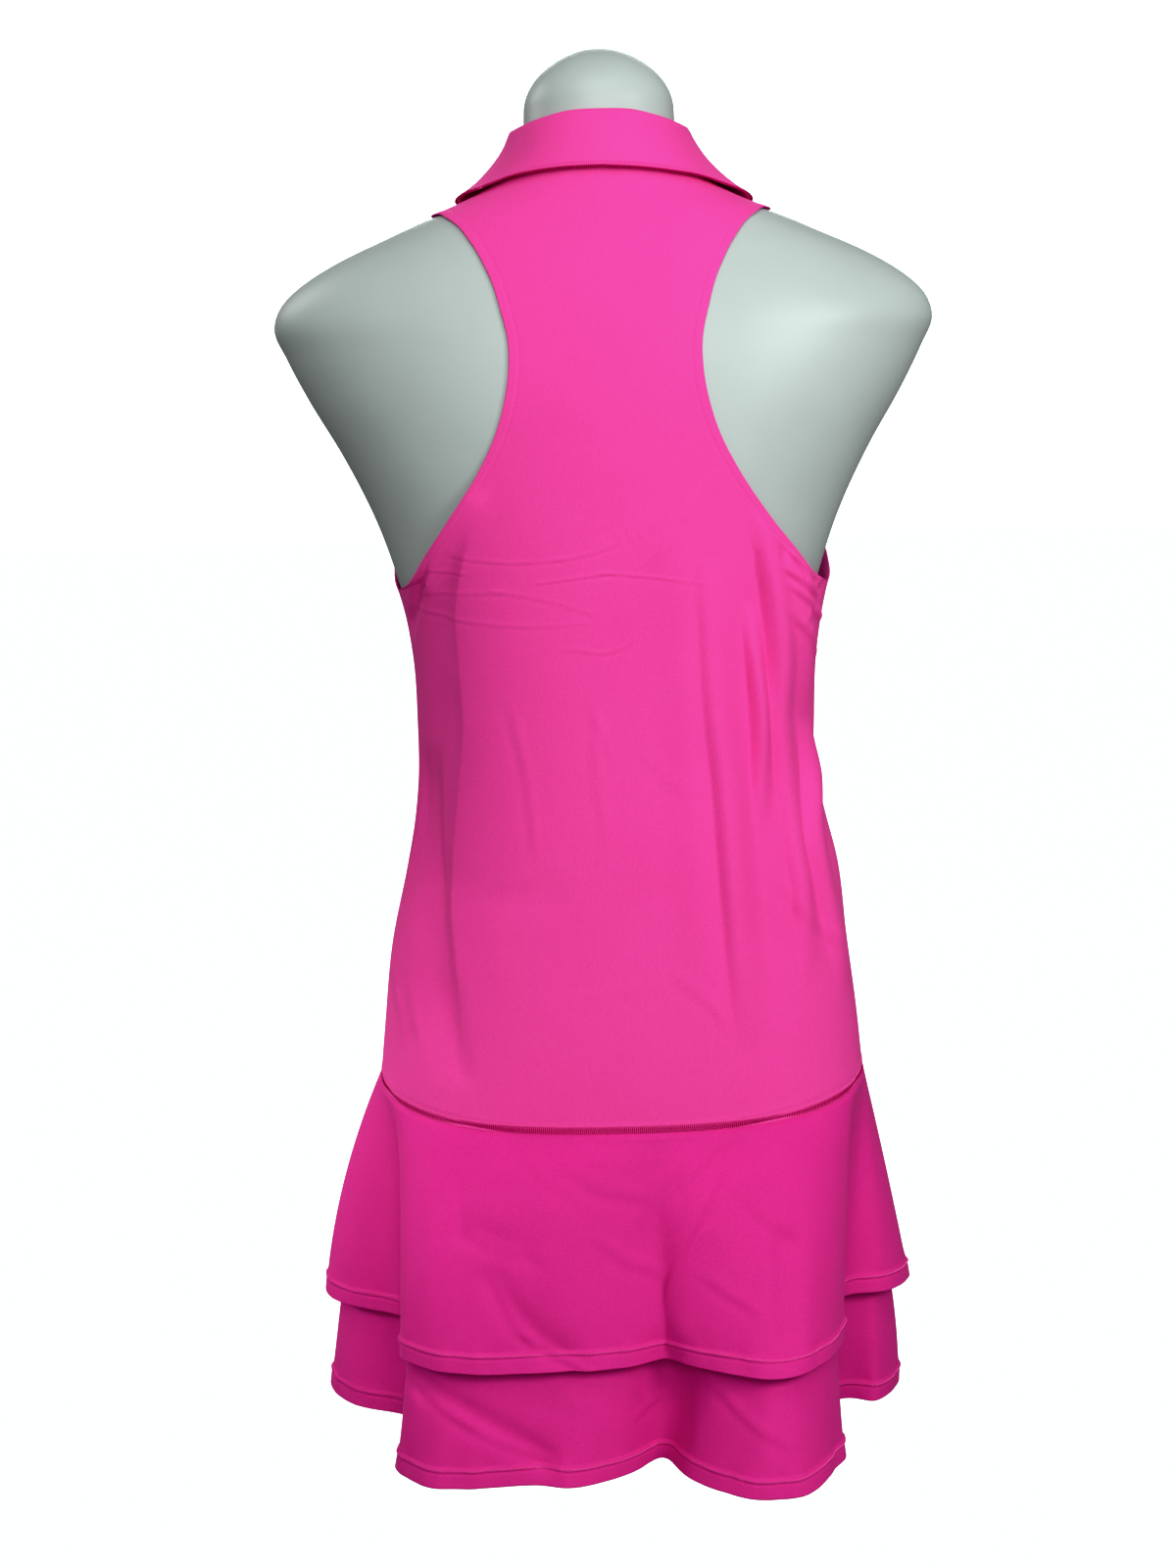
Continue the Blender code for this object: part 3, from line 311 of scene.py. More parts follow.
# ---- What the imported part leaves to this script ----
# Packing creases and fine wrinkles, in rows like those of FOLDS. Each is a ridge with a shallow trough
# beside it.
CREASES = {
    "bodice_back": (
        (64, 620, 33, 579, 3, 3.4, 0.8),
        (-108.4, 580.5, -31.6, 574.6, 3.8, 1.2, 0.3),
        (-31.6, 574.6, 21.2, 591.4, 3, 1.2, 0.3),
        (21.2, 591.4, 54.7, 600.8, 0, 1.4, 0.3),
        (-116.3, 554.4, -68.6, 554.6, 0, 1.2, 0.3),
        (-71.7, 555.2, -13.6, 541.1, -2.1, 1.2, 0.3),
        (-125.3, 545, -18.6, 535.1, 5.2, 1.2, 0.3),
        (-44, 560.4, -1, 565.5, 0, 1.2, 0.3),
        (-4.6, 565.6, 54, 558.1, -1, 1.2, 0.3),
        (-23.2, 519.4, 22.6, 533, 8.6, 1.3, 0.4),
        (-10.2, 473.4, -4.4, 459.8, 0, 1.8, 0.4),
        (-125.5, 570.5, -92.4, 566.9, 0, 1.2, 0.3),
        (-105.8, 361.3, -61.1, 373.4, 0, 2.4, 0.5),
        (-23.9, 301.1, 18, 307.7, 2.1, 2.2, 0.6),
        (39.6, 309.3, 63.9, 283.7, -2.4, 2.4, 0.9),
        (77.5, 360.4, 92.7, 354.1, 0, 2.2, 0.7),
        (106.6, 363.5, 136.9, 326.4, 3.4, 2.6, 1),
        (133.6, 551, 123.4, 536.1, 0, 2.2, -1.4),
        (108, 579, 115, 596, 0, 3, -1.8),
        (109, 580, 126, 564, 0, 3, 1.6),
        (109, 564, 126, 550, 0, 2.6, 1.6),
        (112.8, 552.6, 134, 532, -0.7, 2.6, 1.6),
        (112, 534, 133, 504, -2, 3, 1.4),
        (-134, 297, -129, 272, 0, 3, 0.8),
        (-146, 312, -140, 277, 0, 2.6, 1),
        (-10, 470, -6, 410, 2, 4, 0.4),
        (20, 450, 42, 430, 1, 2.6, 0.4),
        (-60, 470, -50, 400, -2, 3.6, 0.4),
    ),
    "bodice_front": (
        (50, 560, 90, 520, 3, 3, 0.7),
        (-60, 550, -100, 510, -3, 3, 0.7),
        (-30, 470, 30, 466, 2, 2.4, 0.5),
        (-50, 420, 10, 414, -2, 2.4, 0.5),
        (10, 370, 70, 380, 2, 2.6, 0.5),
        (-90, 320, -70, 260, 2, 3, 0.7),
        (70, 310, 90, 260, 2, 3, 0.7),
        (-120, 530, -118, 470, 2, 3, 0.7),
        (118, 520, 116, 460, 2, 3, 0.7),
    ),
    "upper_tier_back": (
        (73, 218, 50, 196, 1, 2.8, 1),
        (50, 196, 40, 186, 0, 2.8, 0.8),
        (34, 191, 14, 170, 3, 5, 0.9),
        (51, 159, 34, 149, 1, 3.4, 0.8),
        (57, 129, 74, 118, 1, 3.4, 0.8),
        (-79, 127, -61, 98, 2, 3.4, 1),
        (-61, 98, -30, 80, 1, 3, 1),
        (-97, 160, -59, 149, 2, 5, 0.8),
        (-30, 195, 5, 180, 3, 4.6, 0.7),
        (-10, 150, 15, 135, 2, 4.2, 0.7),
        (75, 180, 100, 160, 3, 4.6, 0.8),
        (-55, 200, -35, 185, 2, 4, 0.6),
    ),
    "lower_tier_back": (
        (-131, 62, -103, 45, 1, 3.2, 0.9),
        (-103, 45, -55, 22, 1, 3, 0.9),
        (6, 55, 11, 47, 0, 2.4, 0.6),
        (9, 42, 19, 48, 0, 2.4, 0.6),
        (60, 60, 90, 40, 2, 3.6, 0.7),
    ),
    "upper_tier_front": (
        (60, 205, 40, 180, 1, 3, 0.9),
        (-50, 200, -30, 170, -2, 3.4, 0.9),
        (-90, 130, -50, 100, 2, 3.4, 0.9),
        (80, 140, 90, 105, 1, 3.4, 0.9),
    ),
    "lower_tier_front": (
        (-90, 60, -50, 40, 2, 3.4, 0.8),
        (40, 55, 80, 35, 2, 3.4, 0.8),
    ),
}
CREASE_SIDE = 1.5          # distance of a crease's trough from its ridge, in widths
CREASE_TROUGH = 0.55       # and its depth, as a share of the ridge's height

# Drape folds with one steep side, as the cloth falls from the shoulder blades and the underarms. Each row
# has the width of its steep side (negative where that side is on the left), of its easy side, and the
# places of its foot, from the bottom up, as height, x and how far the fold stands out (negative: sinks in).
DRAPES = {
    "bodice_back": (
        (8, 20, ((262, 73, 0), (290, 70, 2.4), (321, 67, 5), (358, 64, 6.6), (395, 61.6, 7.2),
            (432, 59.3, 7.2), (469, 55.6, 6), (506, 53.5, 4.6), (543, 52.5, 3), (575, 51.7, 0))),
        (5, 11, ((400, 85.4, 0), (433, 85.4, 4.5), (470, 84.8, 7.8), (507, 82.3, 6.6), (545, 80, 0))),
        (6, 13, ((300, 115, 0), (325, 113, 2.6), (357, 110.1, 5.8), (395, 105.2, 4.8), (433, 101, 4.8),
            (470, 97.2, 5.6), (507, 95.3, 7.4), (545, 92.5, 6.6), (580, 89, 4), (612, 88, 0))),
        (26, 13, ((470, 96, 0), (500, 95, 5), (540, 92, 8), (575, 89, 5.5), (605, 85, 0))),
        (7, 12, ((285, 142, 0), (320, 133.6, 4.8), (357, 125, 5.8), (395, 117.6, 7.8), (433, 118.2, 7.2),
            (465, 116, 0))),
        (5, 8, ((517, 132.5, 0), (539, 125.3, 1.6), (558, 117, 2.6), (577, 107.6, 2.6), (592, 100.5, 0))),
        (-8.5, 34, ((248, -100.4, 0), (285, -101, -4), (322, -103.3, -5.6), (358, -105.2, -5.2),
            (396, -101.8, -3), (433, -97.6, -2.2), (471, -93.9, -3), (508, -95.3, -2), (545, -96.4, -2.6),
            (564, -93.2, -2.8), (600, -82.7, 0))),
        (-5, 4, ((511, -128, 0), (532, -123.2, -2.2), (551, -118.5, -3.4), (570, -112.1, -3.2),
            (588, -107.4, -1.6), (598, -104, 0))),
        (-7, 22, ((320, -110, 0), (356, -111.5, -3.4), (393, -112, -4.8), (428, -111, -3.6),
            (455, -110, 0))),
    ),
    "bodice_front": (
        (6, 16, ((290, 70, 0), (360, 66, 2), (440, 62, 2.4), (500, 60, 1.4), (560, 56, 0))),
        (-6, 16, ((300, -76, 0), (370, -72, 1.8), (450, -66, 2.4), (510, -64, 1.2), (560, -60, 0))),
        (5, 10, ((380, 96, 0), (430, 98, 2), (480, 97, 2.6), (530, 96, 0))),
        (-5, 10, ((340, -100, 0), (400, -98, 2.2), (460, -97, 2.6), (520, -98, 0))),
    ),
    "upper_tier_back": (
        (7, 45, ((82, 10, 0), (110, 18, 1.6), (150, 40, 2.6), (185, 57, 2.6), (208, 68, 0))),
        (60, 50, ((90, -108, 0), (140, -106, 6), (180, -102, 8), (200, -97, 5), (212, -90, 0))),
    ),
    "upper_tier_front": (
        (12, 30, ((86, -30, 0), (120, -24, 2.6), (160, -16, 3.4), (190, -10, 2), (206, -6, 0))),
    ),
}

CLOTH_LIFT = 1.5 * MM      # middle of the bodice's cloth above the body it lies on
CALM_EDGE = 2 * MM         # a panel's own edge is free of creases and drapes as far in as this,
FULL_DRAPE = 14 * MM       # and has them in full from here on
SEAM_BAND = 5.6 * MM       # height of the stitched band over the waist seam
SEAM_DRAW_IN = 0.5 * MM    # how far the seam draws the bodice's lowest edge in,
SEAM_DRAW_HEIGHT = 1.4 * MM
SEAM_RIDGE = 0.2 * MM      # and how far the band's upper edge stands out
ARMHOLE_TURN = 6.0 * MM    # width of the armholes' turned edge,
ARMHOLE_THICKER = 0.22 * MM
ARMHOLE_GROOVE = 0.18 * MM
TIER_TOP_DROP = 0.4 * MM   # the tiers' upper edge below the waist seam
TIER_TOP_TUCK = 1.3 * MM   # how far the upper tier's edge is drawn in under the bodice
TIER_TOP_BAND = 5.0 * MM   # height over which a tier's first rows lie closer together
TIER_TOP_ROWS = 8
TIER_HEM_HEIGHTS = {"upper": 0.077, "lower": 0.005}
TIER_SIDE_PARTING = 0.06   # degrees between a tier's edge and its side seam
HEM_TURN_UP = 11.0 * MM    # depth of the turned-up hems,
HEM_THICKER = 0.30 * MM
HEM_PLIES = 0.7            # how much thicker the cloth is in them, as a share
HEM_RIDGE = 1.10 * MM      # and the ridge and groove along their stitches
HEM_RIDGE_WIDTH = 1.1 * MM
HEM_GROOVE = 0.35 * MM
HEM_GROOVE_WIDTH = 0.8 * MM
HEM_GROOVE_BELOW = 2.4 * MM
HEM_EDGE_ROWS = 26         # rows of the mesh in a hem, closer together than the rest
LEAF_BAND = 3.0 * MM       # width of the stitched edge of the collar's leaf
LEAF_BAND_THICKER = 0.45 * MM
COLLAR_PLY = 0.75          # share of the collar's full thickness away from its stitched edge
COLLAR_STEP = 0.75 * MM    # how far the lean of the stand lifts its lower edge
OUTER_FOLD_WIDTH = 9.0     # degrees round an outer fold in which the tiers lie close


def linear(code):
    """Linear red, green and blue of an sRGB hex colour."""
    shares = np.array([int(code[place:place + 2], 16) for place in (0, 2, 4)]) / 255.0
    values = np.where(shares <= 0.04045, shares / 12.92, ((shares + 0.055) / 1.055) ** 2.4)
    return tuple(float(value) for value in values)


# ---- Curves through tables ----
def smooth(knots, values, at):
    """Value at AT of the smooth curve through the knots: a cubic in each span, whose slope at a knot is
    the weighted mean of the slopes on either side."""
    slopes = np.gradient(values, knots)
    span = np.clip(np.searchsorted(knots, at, side="right") - 1, 0, len(knots) - 2)
    width = knots[span + 1] - knots[span]
    t = (at - knots[span]) / width
    return ((1 + 2 * t) * (1 - t) ** 2 * values[span] + t * (1 - t) ** 2 * width * slopes[span]
            + t ** 2 * (3 - 2 * t) * values[span + 1] + t ** 2 * (t - 1) * width * slopes[span + 1])


def ramp(low, high, at):
    """0 below LOW and 1 above HIGH, with 3 t squared - 2 t cubed between."""
    t = np.clip((at - low) / (high - low), 0, 1)
    return t * t * (3 - 2 * t)


def bell(centre, width, at):
    """A bell: e to the minus square of the distance from its centre over its width."""
    return np.exp(-((at - centre) / width) ** 2)


def along_route(points):
    """Distance of each point of a route from its start."""
    steps = np.linalg.norm(np.diff(points, axis=0), axis=-1)
    return np.concatenate([np.zeros((1,) + steps.shape[1:]), np.cumsum(steps, axis=0)])


def unit(vectors):
    """Vectors of the same directions and of length 1."""
    return vectors / np.linalg.norm(vectors, axis=-1, keepdims=True)


def ripples(at, waves):
    """Sum of sines: each wave is its length, its height and its start, all real sizes."""
    return sum(height * np.sin(2 * np.pi * (at / length + start)) for length, height, start in waves)


# ---- Body line ----
# Above its hanging part the dress lies on the form.
FITTED = FORM["height"] > HANGING["height"][-1] + 0.01
DRESS = {name: np.concatenate([HANGING[name], FORM[source][FITTED] if source else
                               np.full(np.count_nonzero(FITTED), FORM_ROUNDNESS)])
         for name, source in (("height", "height"), ("left", "half_width"), ("right", "half_width"),
                              ("back", "back"), ("front", "front"), ("roundness", None))}


def dress_sizes(height):
    """Left and right half widths, back and front depths and roundness of the body line at a height."""
    return [smooth(DRESS["height"], values, height) for name, values in DRESS.items() if name != "height"]


def oval(turn, left, right, back, front, roundness):
    """Plan point of an oval at a turn: the sine and cosine of the turn, divided by the root of their
    summed powers, are the shares of the half width and of the depth."""
    across, behind = np.sin(np.radians(turn)), np.cos(np.radians(turn))
    size = (np.abs(across) ** roundness + np.abs(behind) ** roundness) ** (1 / roundness)
    half = np.where(across < 0, left, right)
    depth = np.where(behind > 0, back, front)
    return half * across / size, -depth * behind / size


def on_dress(height, turn):
    """Point of the body line at a height and a turn."""
    x, y = oval(turn, *dress_sizes(height))
    return np.stack(np.broadcast_arrays(x, y, height), axis=-1)


def body_value(points):
    """How far points lie outside the body line, as a share: the root of the summed powers of x over the
    half width and y over the depth, less 1."""
    x, y, height = points[..., 0], points[..., 1], points[..., 2]
    left, right, back, front, roundness = dress_sizes(height)
    across = np.abs(x) / np.where(x < 0, left, right)
    behind = np.abs(y) / np.where(y < 0, back, front)
    return (across ** roundness + behind ** roundness) ** (1 / roundness) - 1


def body_slope(points):
    """Gradient of the body value, from small steps each way."""
    step = 0.1 * MM
    return np.stack([(body_value(points + move) - body_value(points - move)) / (2 * step)
                     for move in np.eye(3) * step], axis=-1)


def settled(points, steps=6):
    """Points brought onto the body line by Newton steps down its gradient."""
    for _ in range(steps):
        slope = body_slope(points)
        points = points - slope * (body_value(points) / np.sum(slope ** 2, axis=-1))[..., None]
    return points


def outward(points):
    """Outward normal of the body line at points that lie on it."""
    return unit(body_slope(points))


def lifted(height, turn, lift):
    """Point of the body line, moved out along its normal."""
    points = on_dress(height, turn)
    return points + outward(points) * np.asarray(lift)[..., None]


def held_off(points, clearance):
    """Points moved out along the body's normal where they lie closer to the body than a clearance."""
    below = settled(points)
    normal = outward(below)
    height = np.sum((points - below) * normal, axis=-1)
    return points + normal * np.maximum(clearance - height, 0.0)[..., None]


def turn_at(height, half_width, front=False):
    """Turn of the point that lies at a height and at a distance from the centre line."""
    _, half, _, _, power = dress_sizes(height)
    across = np.minimum(half_width / half, 0.999)
    behind = (1 - across ** power) ** (1 / power)
    turn = np.degrees(np.arctan2(across, behind))
    return np.where(front, 180.0 - turn, turn)


def waist_seam_height(turn):
    """Height of the dropped waist seam: level over the back and front, rising to the side seams."""
    return WAIST_SEAM_HEIGHT + WAIST_SEAM_RISE * np.abs(np.sin(np.radians(turn))) ** 4


def fold_rows(folds, piece):
    """The rows of a piece in a table of folds, in metres."""
    return [np.array(row) * MM for row in folds.get(piece, ())]


def fold_line(row, x, z):
    """Distance of places from a fold's bowed line, across it and beyond its ends."""
    x0, z0, x1, z1, bow = row[:5]
    length = np.hypot(x1 - x0, z1 - z0)
    along_x, along_z = (x1 - x0) / length, (z1 - z0) / length
    along = ((x - x0) * along_x + (z - z0) * along_z) / length
    inside = np.clip(along, 0, 1)
    across = (x - x0) * along_z - (z - z0) * along_x - bow * 4 * inside * (1 - inside)
    return across, (along - inside) * length


def fold_growth(row, x, z):
    """Strength of a fold along its line: a ramp over each end third of a long one."""
    x0, z0, x1, z1 = row[:4]
    length = np.hypot(x1 - x0, z1 - z0)
    if length < LONG_FOLD:
        return 1.0
    along = ((x - x0) * (x1 - x0) + (z - z0) * (z1 - z0)) / length ** 2
    return ramp(0, 1, np.minimum(along, 1 - along) * 3)


def fold_height(piece, x, z):
    """How far the large folds of a piece push its cloth out: a bell across each line."""
    total = np.zeros(np.broadcast(x, z).shape)
    for row in fold_rows(FOLDS, piece):
        across, beyond = fold_line(row, x, z)
        width, depth = row[5:]
        total += depth * fold_growth(row, x, z) * np.exp(-(across ** 2 + beyond ** 2) / width ** 2)
    return total


def crease_height(piece, x, z):
    """The same for its creases: a bell with a shallower, inverted bell beside it, fading at the ends."""
    total = np.zeros(np.broadcast(x, z).shape)
    for row in fold_rows(CREASES, piece):
        across, beyond = fold_line(row, x, z)
        width, depth = row[5:]
        fade = np.exp(-(beyond / (3 * width)) ** 2)
        total += depth * fade * (bell(0, width, across)
                                 - CREASE_TROUGH * bell(CREASE_SIDE * width, width, across))
    return total


def drape_height(piece, x, z):
    """The same for its one-sided folds. From the foot the cloth rises by the sine of a quarter turn over
    the steep side, and falls back by half of 1 plus the cosine over the easy side."""
    total = np.zeros(np.broadcast(x, z).shape)
    for steep, easy, places in DRAPES.get(piece, ()):
        steep, easy = steep * MM, easy * MM
        heights, feet, depths = np.array(places).T * MM
        inside = np.clip(z, heights[0], heights[-1])
        depth = np.where(inside == z, smooth(heights, depths, inside), 0.0)
        away = (x - smooth(heights, feet, inside)) * np.sign(steep)
        rise = np.sin(np.pi / 2 * np.clip(away / abs(steep), 0, 1))
        fall = (1 + np.cos(np.pi * np.clip((away - abs(steep)) / easy, 0, 1))) / 2
        total += depth * rise * fall
    return total


# ---- Meshes ----
def remove_named(name):
    """Removes an earlier object of that name, so that an operator can be pressed again."""
    old = bpy.data.objects.get(name)
    if old is not None:
        bpy.data.objects.remove(old, do_unlink=True)


def add_piece(name, points, faces, finish, uv=None):
    """An object of the dress or form, at the origin, shaded smooth. UV holds a pair for each point."""
    remove_named(name)
    mesh = bpy.data.meshes.new(name)
    mesh.from_pydata(points.reshape(-1, 3), [], faces)
    if uv is not None:
        corners = np.empty(len(mesh.loops), dtype=np.int32)
        mesh.loops.foreach_get("vertex_index", corners)
        layer = mesh.uv_layers.new(name="cloth")
        layer.data.foreach_set("uv", uv.reshape(-1, 2)[corners].astype(np.float32).ravel())
    mesh.materials.append(finish)
    mesh.shade_smooth()
    mesh.update()
    thing = bpy.data.objects.new(name, mesh)
    bpy.context.scene.collection.objects.link(thing)
    return thing


def quads(index, closed_rows=False):
    """Faces between the neighbouring points of a grid of indices."""
    if closed_rows:
        index = np.concatenate([index, index[:, :1]], axis=1)
    corners = (index[:-1, :-1], index[:-1, 1:], index[1:, 1:], index[1:, :-1])
    return np.stack([corner.ravel() for corner in corners], axis=1)


def capped(index, first, last):
    """Faces of rings of points, closed by fans to one point before the FIRST ring and one past the LAST."""
    onward = np.roll(index, -1, axis=1)
    fans = [(np.full(index.shape[1], first), onward[0], index[0]),
            (np.full(index.shape[1], last), index[-1], onward[-1])]
    return quads(index, closed_rows=True), np.concatenate([np.stack(fan, axis=1) for fan in fans])


def grid_normals(grid):
    """Normals of a grid of points: the cross product of the steps along its rows and its columns."""
    return unit(np.cross(np.gradient(grid, axis=1), np.gradient(grid, axis=0)))


def rim_of(grid):
    """The points round the edge of a grid, in order."""
    return np.concatenate([grid[0, :-1], grid[:-1, -1], grid[-1, :0:-1], grid[:0:-1, 0]])


def cloth_shell(name, middle, thickness, finish, edge_round=0.45):
    """A closed thin shell: the grid moved out and in by half the thickness along its normals, joined by
    a rim that stands out a little beyond the edge, so that the edge is rounded. The inner side takes every
    second row and column, so the grid has an odd number of each.

    The UV pair is the distance along the rows and up the columns, in metres.
    """
    normal = grid_normals(middle)
    half = np.broadcast_to(thickness, middle.shape[:2])[..., None] / 2
    rows, columns = middle.shape[:2]
    beyond = np.zeros_like(middle)
    beyond[0] += middle[0] - middle[1]
    beyond[-1] += middle[-1] - middle[-2]
    beyond[:, 0] += middle[:, 0] - middle[:, 1]
    beyond[:, -1] += middle[:, -1] - middle[:, -2]
    rim = rim_of(middle) + unit(rim_of(beyond)) * rim_of(half) * 2 * edge_round
    inner = (middle - normal * half)[::2, ::2]
    outer_index = np.arange(rows * columns).reshape(rows, columns)
    inner_index = rows * columns + np.arange(inner.shape[0] * inner.shape[1]).reshape(inner.shape[:2])
    rim_index = inner_index[-1, -1] + 1 + np.arange(len(rim))
    near, far = rim_of(inner_index), np.roll(rim_of(inner_index), -1)
    onward = np.roll(rim_index, -1)
    hems = np.stack([near, far, onward[1::2], rim_index[1::2], rim_index[::2]], axis=1)
    faces = (quads(outer_index).tolist() + quads(inner_index)[:, ::-1].tolist() + hems.tolist()
             + quads(np.stack([rim_index, rim_of(outer_index)]), closed_rows=True).tolist())
    across = along_route(middle.swapaxes(0, 1)).T
    across -= across[:, -1:] / 2
    up = along_route(middle)
    uv = np.stack([across, up], axis=-1)
    uv = np.concatenate([uv.reshape(-1, 2), uv[::2, ::2].reshape(-1, 2), rim_of(uv)])
    points = np.concatenate([(middle + normal * half).reshape(-1, 3), inner.reshape(-1, 3), rim])
    return add_piece(name, points, faces, finish, uv)


# ---- Surfaces of the pieces ----
def form_grid(rings, columns):
    """Rings of the form: its oval sections up to DOME_START, then a rounded top whose width is
    (1 - share squared) to the power DOME_POWER."""
    heights = np.concatenate([[0.0], np.linspace(BASE_ROUNDING, DOME_START, rings)])
    sizes = [smooth(FORM["height"], FORM[name], heights) for name in ("half_width", "back", "front")]
    for size in sizes:
        size[0] -= BASE_ROUNDING
    share = np.sin(np.radians(np.linspace(0, 90, 26)[1:-1]))
    narrowing = (1 - share ** 2) ** DOME_POWER
    heights = np.concatenate([heights, DOME_START + (NECK_TOP - DOME_START) * share])
    half, back, front = (np.concatenate([size, size[-1] * narrowing])[:, None] for size in sizes)
    turns = np.linspace(0, FULL_TURN, columns, endpoint=False)[None, :]
    x, y = oval(turns, half, half, back, front, FORM_ROUNDNESS)
    return np.stack(np.broadcast_arrays(x, y, heights[:, None]), axis=-1)


def back_neckline(share):
    """Height and turn along the back neckline, from the centre back (0) to the neck point (1)."""
    turn = share * SHOULDER_TURN
    return smooth(BACK_NECK["turn"], BACK_NECK["height"], turn), turn


def front_neckline(share):
    """Height and turn from the centre front along the V of the neck (0) to the neck point (1)."""
    heights = np.concatenate([[NECK_POINT_HEIGHT], FRONT_NECK["height"]])
    turns = turn_at(heights[1:], FRONT_NECK["half_width"])
    turns = np.concatenate([[SHOULDER_TURN], turns])
    route = along_route(on_dress(heights, turns))
    distance = (1 - share) * route[-1]
    return smooth(route, heights, distance), smooth(route, turns, distance)


def panel_edge(armhole, side_turn, centre_ends, seam_rows, hole_rows):
    """Height, turn and centre height of each row of a panel: up the side seam at one turn, then along the
    armhole's table to the ridge of the shoulder. Rows lie closer together in the waist band and round the
    underarm, where the fine creases are."""
    start = waist_seam_height(side_turn)
    band = 1.6 * SEAM_BAND / (UNDERARM_HEIGHT - start)
    low_rows = (seam_rows - BAND_ROWS) // 2
    up = np.concatenate([np.linspace(0, band, BAND_ROWS, endpoint=False),
                         np.linspace(band, CREASED_FROM, low_rows, endpoint=False),
                         np.linspace(CREASED_FROM, 1, seam_rows - BAND_ROWS - low_rows, endpoint=False)])
    seam = (start + (UNDERARM_HEIGHT - start) * up, np.full(seam_rows, side_turn),
            WAIST_SEAM_HEIGHT + (centre_ends[0] - WAIST_SEAM_HEIGHT) * up)
    turns = turn_at(armhole["height"], armhole["half_width"])
    heights = np.concatenate([[UNDERARM_HEIGHT], armhole["height"], [SHOULDER_HEIGHT]])
    turns = np.concatenate([[side_turn], turns, [SHOULDER_TURN]])
    centres = np.concatenate([centre_ends[:1], armhole["centre_height"], centre_ends[1:]])
    route = along_route(on_dress(heights, turns))
    near_rows = hole_rows // 3
    farther = np.linspace(1, 0, hole_rows - near_rows) ** 1.2
    distance = route[-1] * np.concatenate([np.linspace(0, CREASED_HOLE, near_rows, endpoint=False),
                                           1 - (1 - CREASED_HOLE) * farther])
    hole = (smooth(route, values, distance) for values in (heights, turns, centres))
    return [np.concatenate(pair)[:, None] for pair in zip(seam, hole)]


def panel_grid(armhole, side_turn, centre_ends, neckline, neck_share, columns, seam_rows, hole_rows, front):
    """Points of a bodice panel on the body line. Below the narrowest row the rows run round the body by
    equal turns; above it each row is a parabola from edge to edge, bent into the top edge, which is
    shoulder seam, neckline and shoulder seam. Columns crowd where the long folds are and at both edges."""
    def place(height, turn):
        return on_dress(height, 180.0 - turn if front else turn)

    edge_height, edge_turn, centre = panel_edge(armhole, side_turn, centre_ends, seam_rows, hole_rows)
    even = np.linspace(-1, 1, 2001)
    crowding = 1 + sum(more * bell(at, width, np.abs(even)) for at, width, more in COLUMN_CROWDING)
    count = np.concatenate([[0.0], np.cumsum((crowding[1:] + crowding[:-1]) / 2)])
    u = np.interp(np.linspace(0, count[-1], columns), count, even)
    turn = edge_turn * u
    height = edge_height + (centre - edge_height) * (1 - u ** 2)
    to_seam = ramp(0.0, 0.35, np.arange(len(edge_height)) / seam_rows)[:, None]
    level = waist_seam_height(turn) + (edge_height - edge_height[0])
    height = level + (height - level) * to_seam
    by_turn = place(height, turn)
    middle = place(centre, np.zeros_like(centre))
    left, right = by_turn[:, :1], by_turn[:, -1:]
    across = u[None, :, None]
    parabola = middle + (right - left) / 2 * across + ((right + left) / 2 - middle) * across ** 2
    rows = len(edge_height)
    narrowest = int(np.argmin(edge_turn[:, 0]))
    rise = np.clip((np.arange(rows) - narrowest) / (rows - 1 - narrowest), 0, 1)[:, None, None]
    grid = by_turn + (parabola - by_turn) * np.minimum(rise * STRAIGHTENING, 1.0)
    neck_height, neck_turn = neckline(np.minimum(np.abs(u) / neck_share, 1.0))
    on_shoulder = np.clip((np.abs(u) - neck_share) / (1 - neck_share), 0, 1)
    top_height = neck_height + (SHOULDER_HEIGHT - NECK_POINT_HEIGHT) * on_shoulder
    top = place(top_height, np.sign(u) * neck_turn)
    grid = grid + (top - grid[-1]) * rise ** TOP_BEND
    grid[1:-1, 1:-1] = settled(grid[1:-1, 1:-1])
    return grid


def bodice_middle(name, grid):
    """Middle of a bodice panel's cloth: lifted off the body by its folds and creases, drawn in at the
    waist seam under the ridge of its stitched band, and thicker along the turned armhole edges."""
    x, z = grid[..., 0], grid[..., 2]
    seam = waist_seam_height(np.degrees(np.arctan2(x, -grid[..., 1])))
    above = z - seam
    fade = np.clip(above / FOLD_FADE, 0, 1)
    side = along_route(grid.swapaxes(0, 1)).T
    edge = np.minimum(side, side[:, -1:] - side)
    drape = (crease_height(name, x, z) + drape_height(name, x, z)) * ramp(CALM_EDGE, FULL_DRAPE, edge)
    relief = (fold_height(name, x, z) + drape) * fade
    relief -= SEAM_DRAW_IN * (1 - ramp(0.0, SEAM_DRAW_HEIGHT, above))
    relief += SEAM_RIDGE * bell(SEAM_BAND, 1.0 * MM, above)
    hole = ramp(UNDERARM_HEIGHT - 4 * MM, UNDERARM_HEIGHT + 4 * MM, z)
    relief += hole * (ARMHOLE_THICKER * (1 - ramp(ARMHOLE_TURN - 1.5 * MM, ARMHOLE_TURN, edge))
                      - ARMHOLE_GROOVE * bell(ARMHOLE_TURN, 1.0 * MM, edge))
    return grid + outward(grid) * (CLOTH_LIFT + relief)[..., None]


def neckline_route(station):
    """Height and turn of the whole half neckline: 0 centre back, 0.5 neck point, 1 point of the V."""
    back_height, back_turn = back_neckline(np.minimum(station * 2, 1.0))
    front_height, front_turn = front_neckline(np.clip(2 - station * 2, 0.0, 1.0))
    behind = station <= 0.5
    return (np.where(behind, back_height, front_height),
            np.where(behind, back_turn, 180.0 - front_turn))


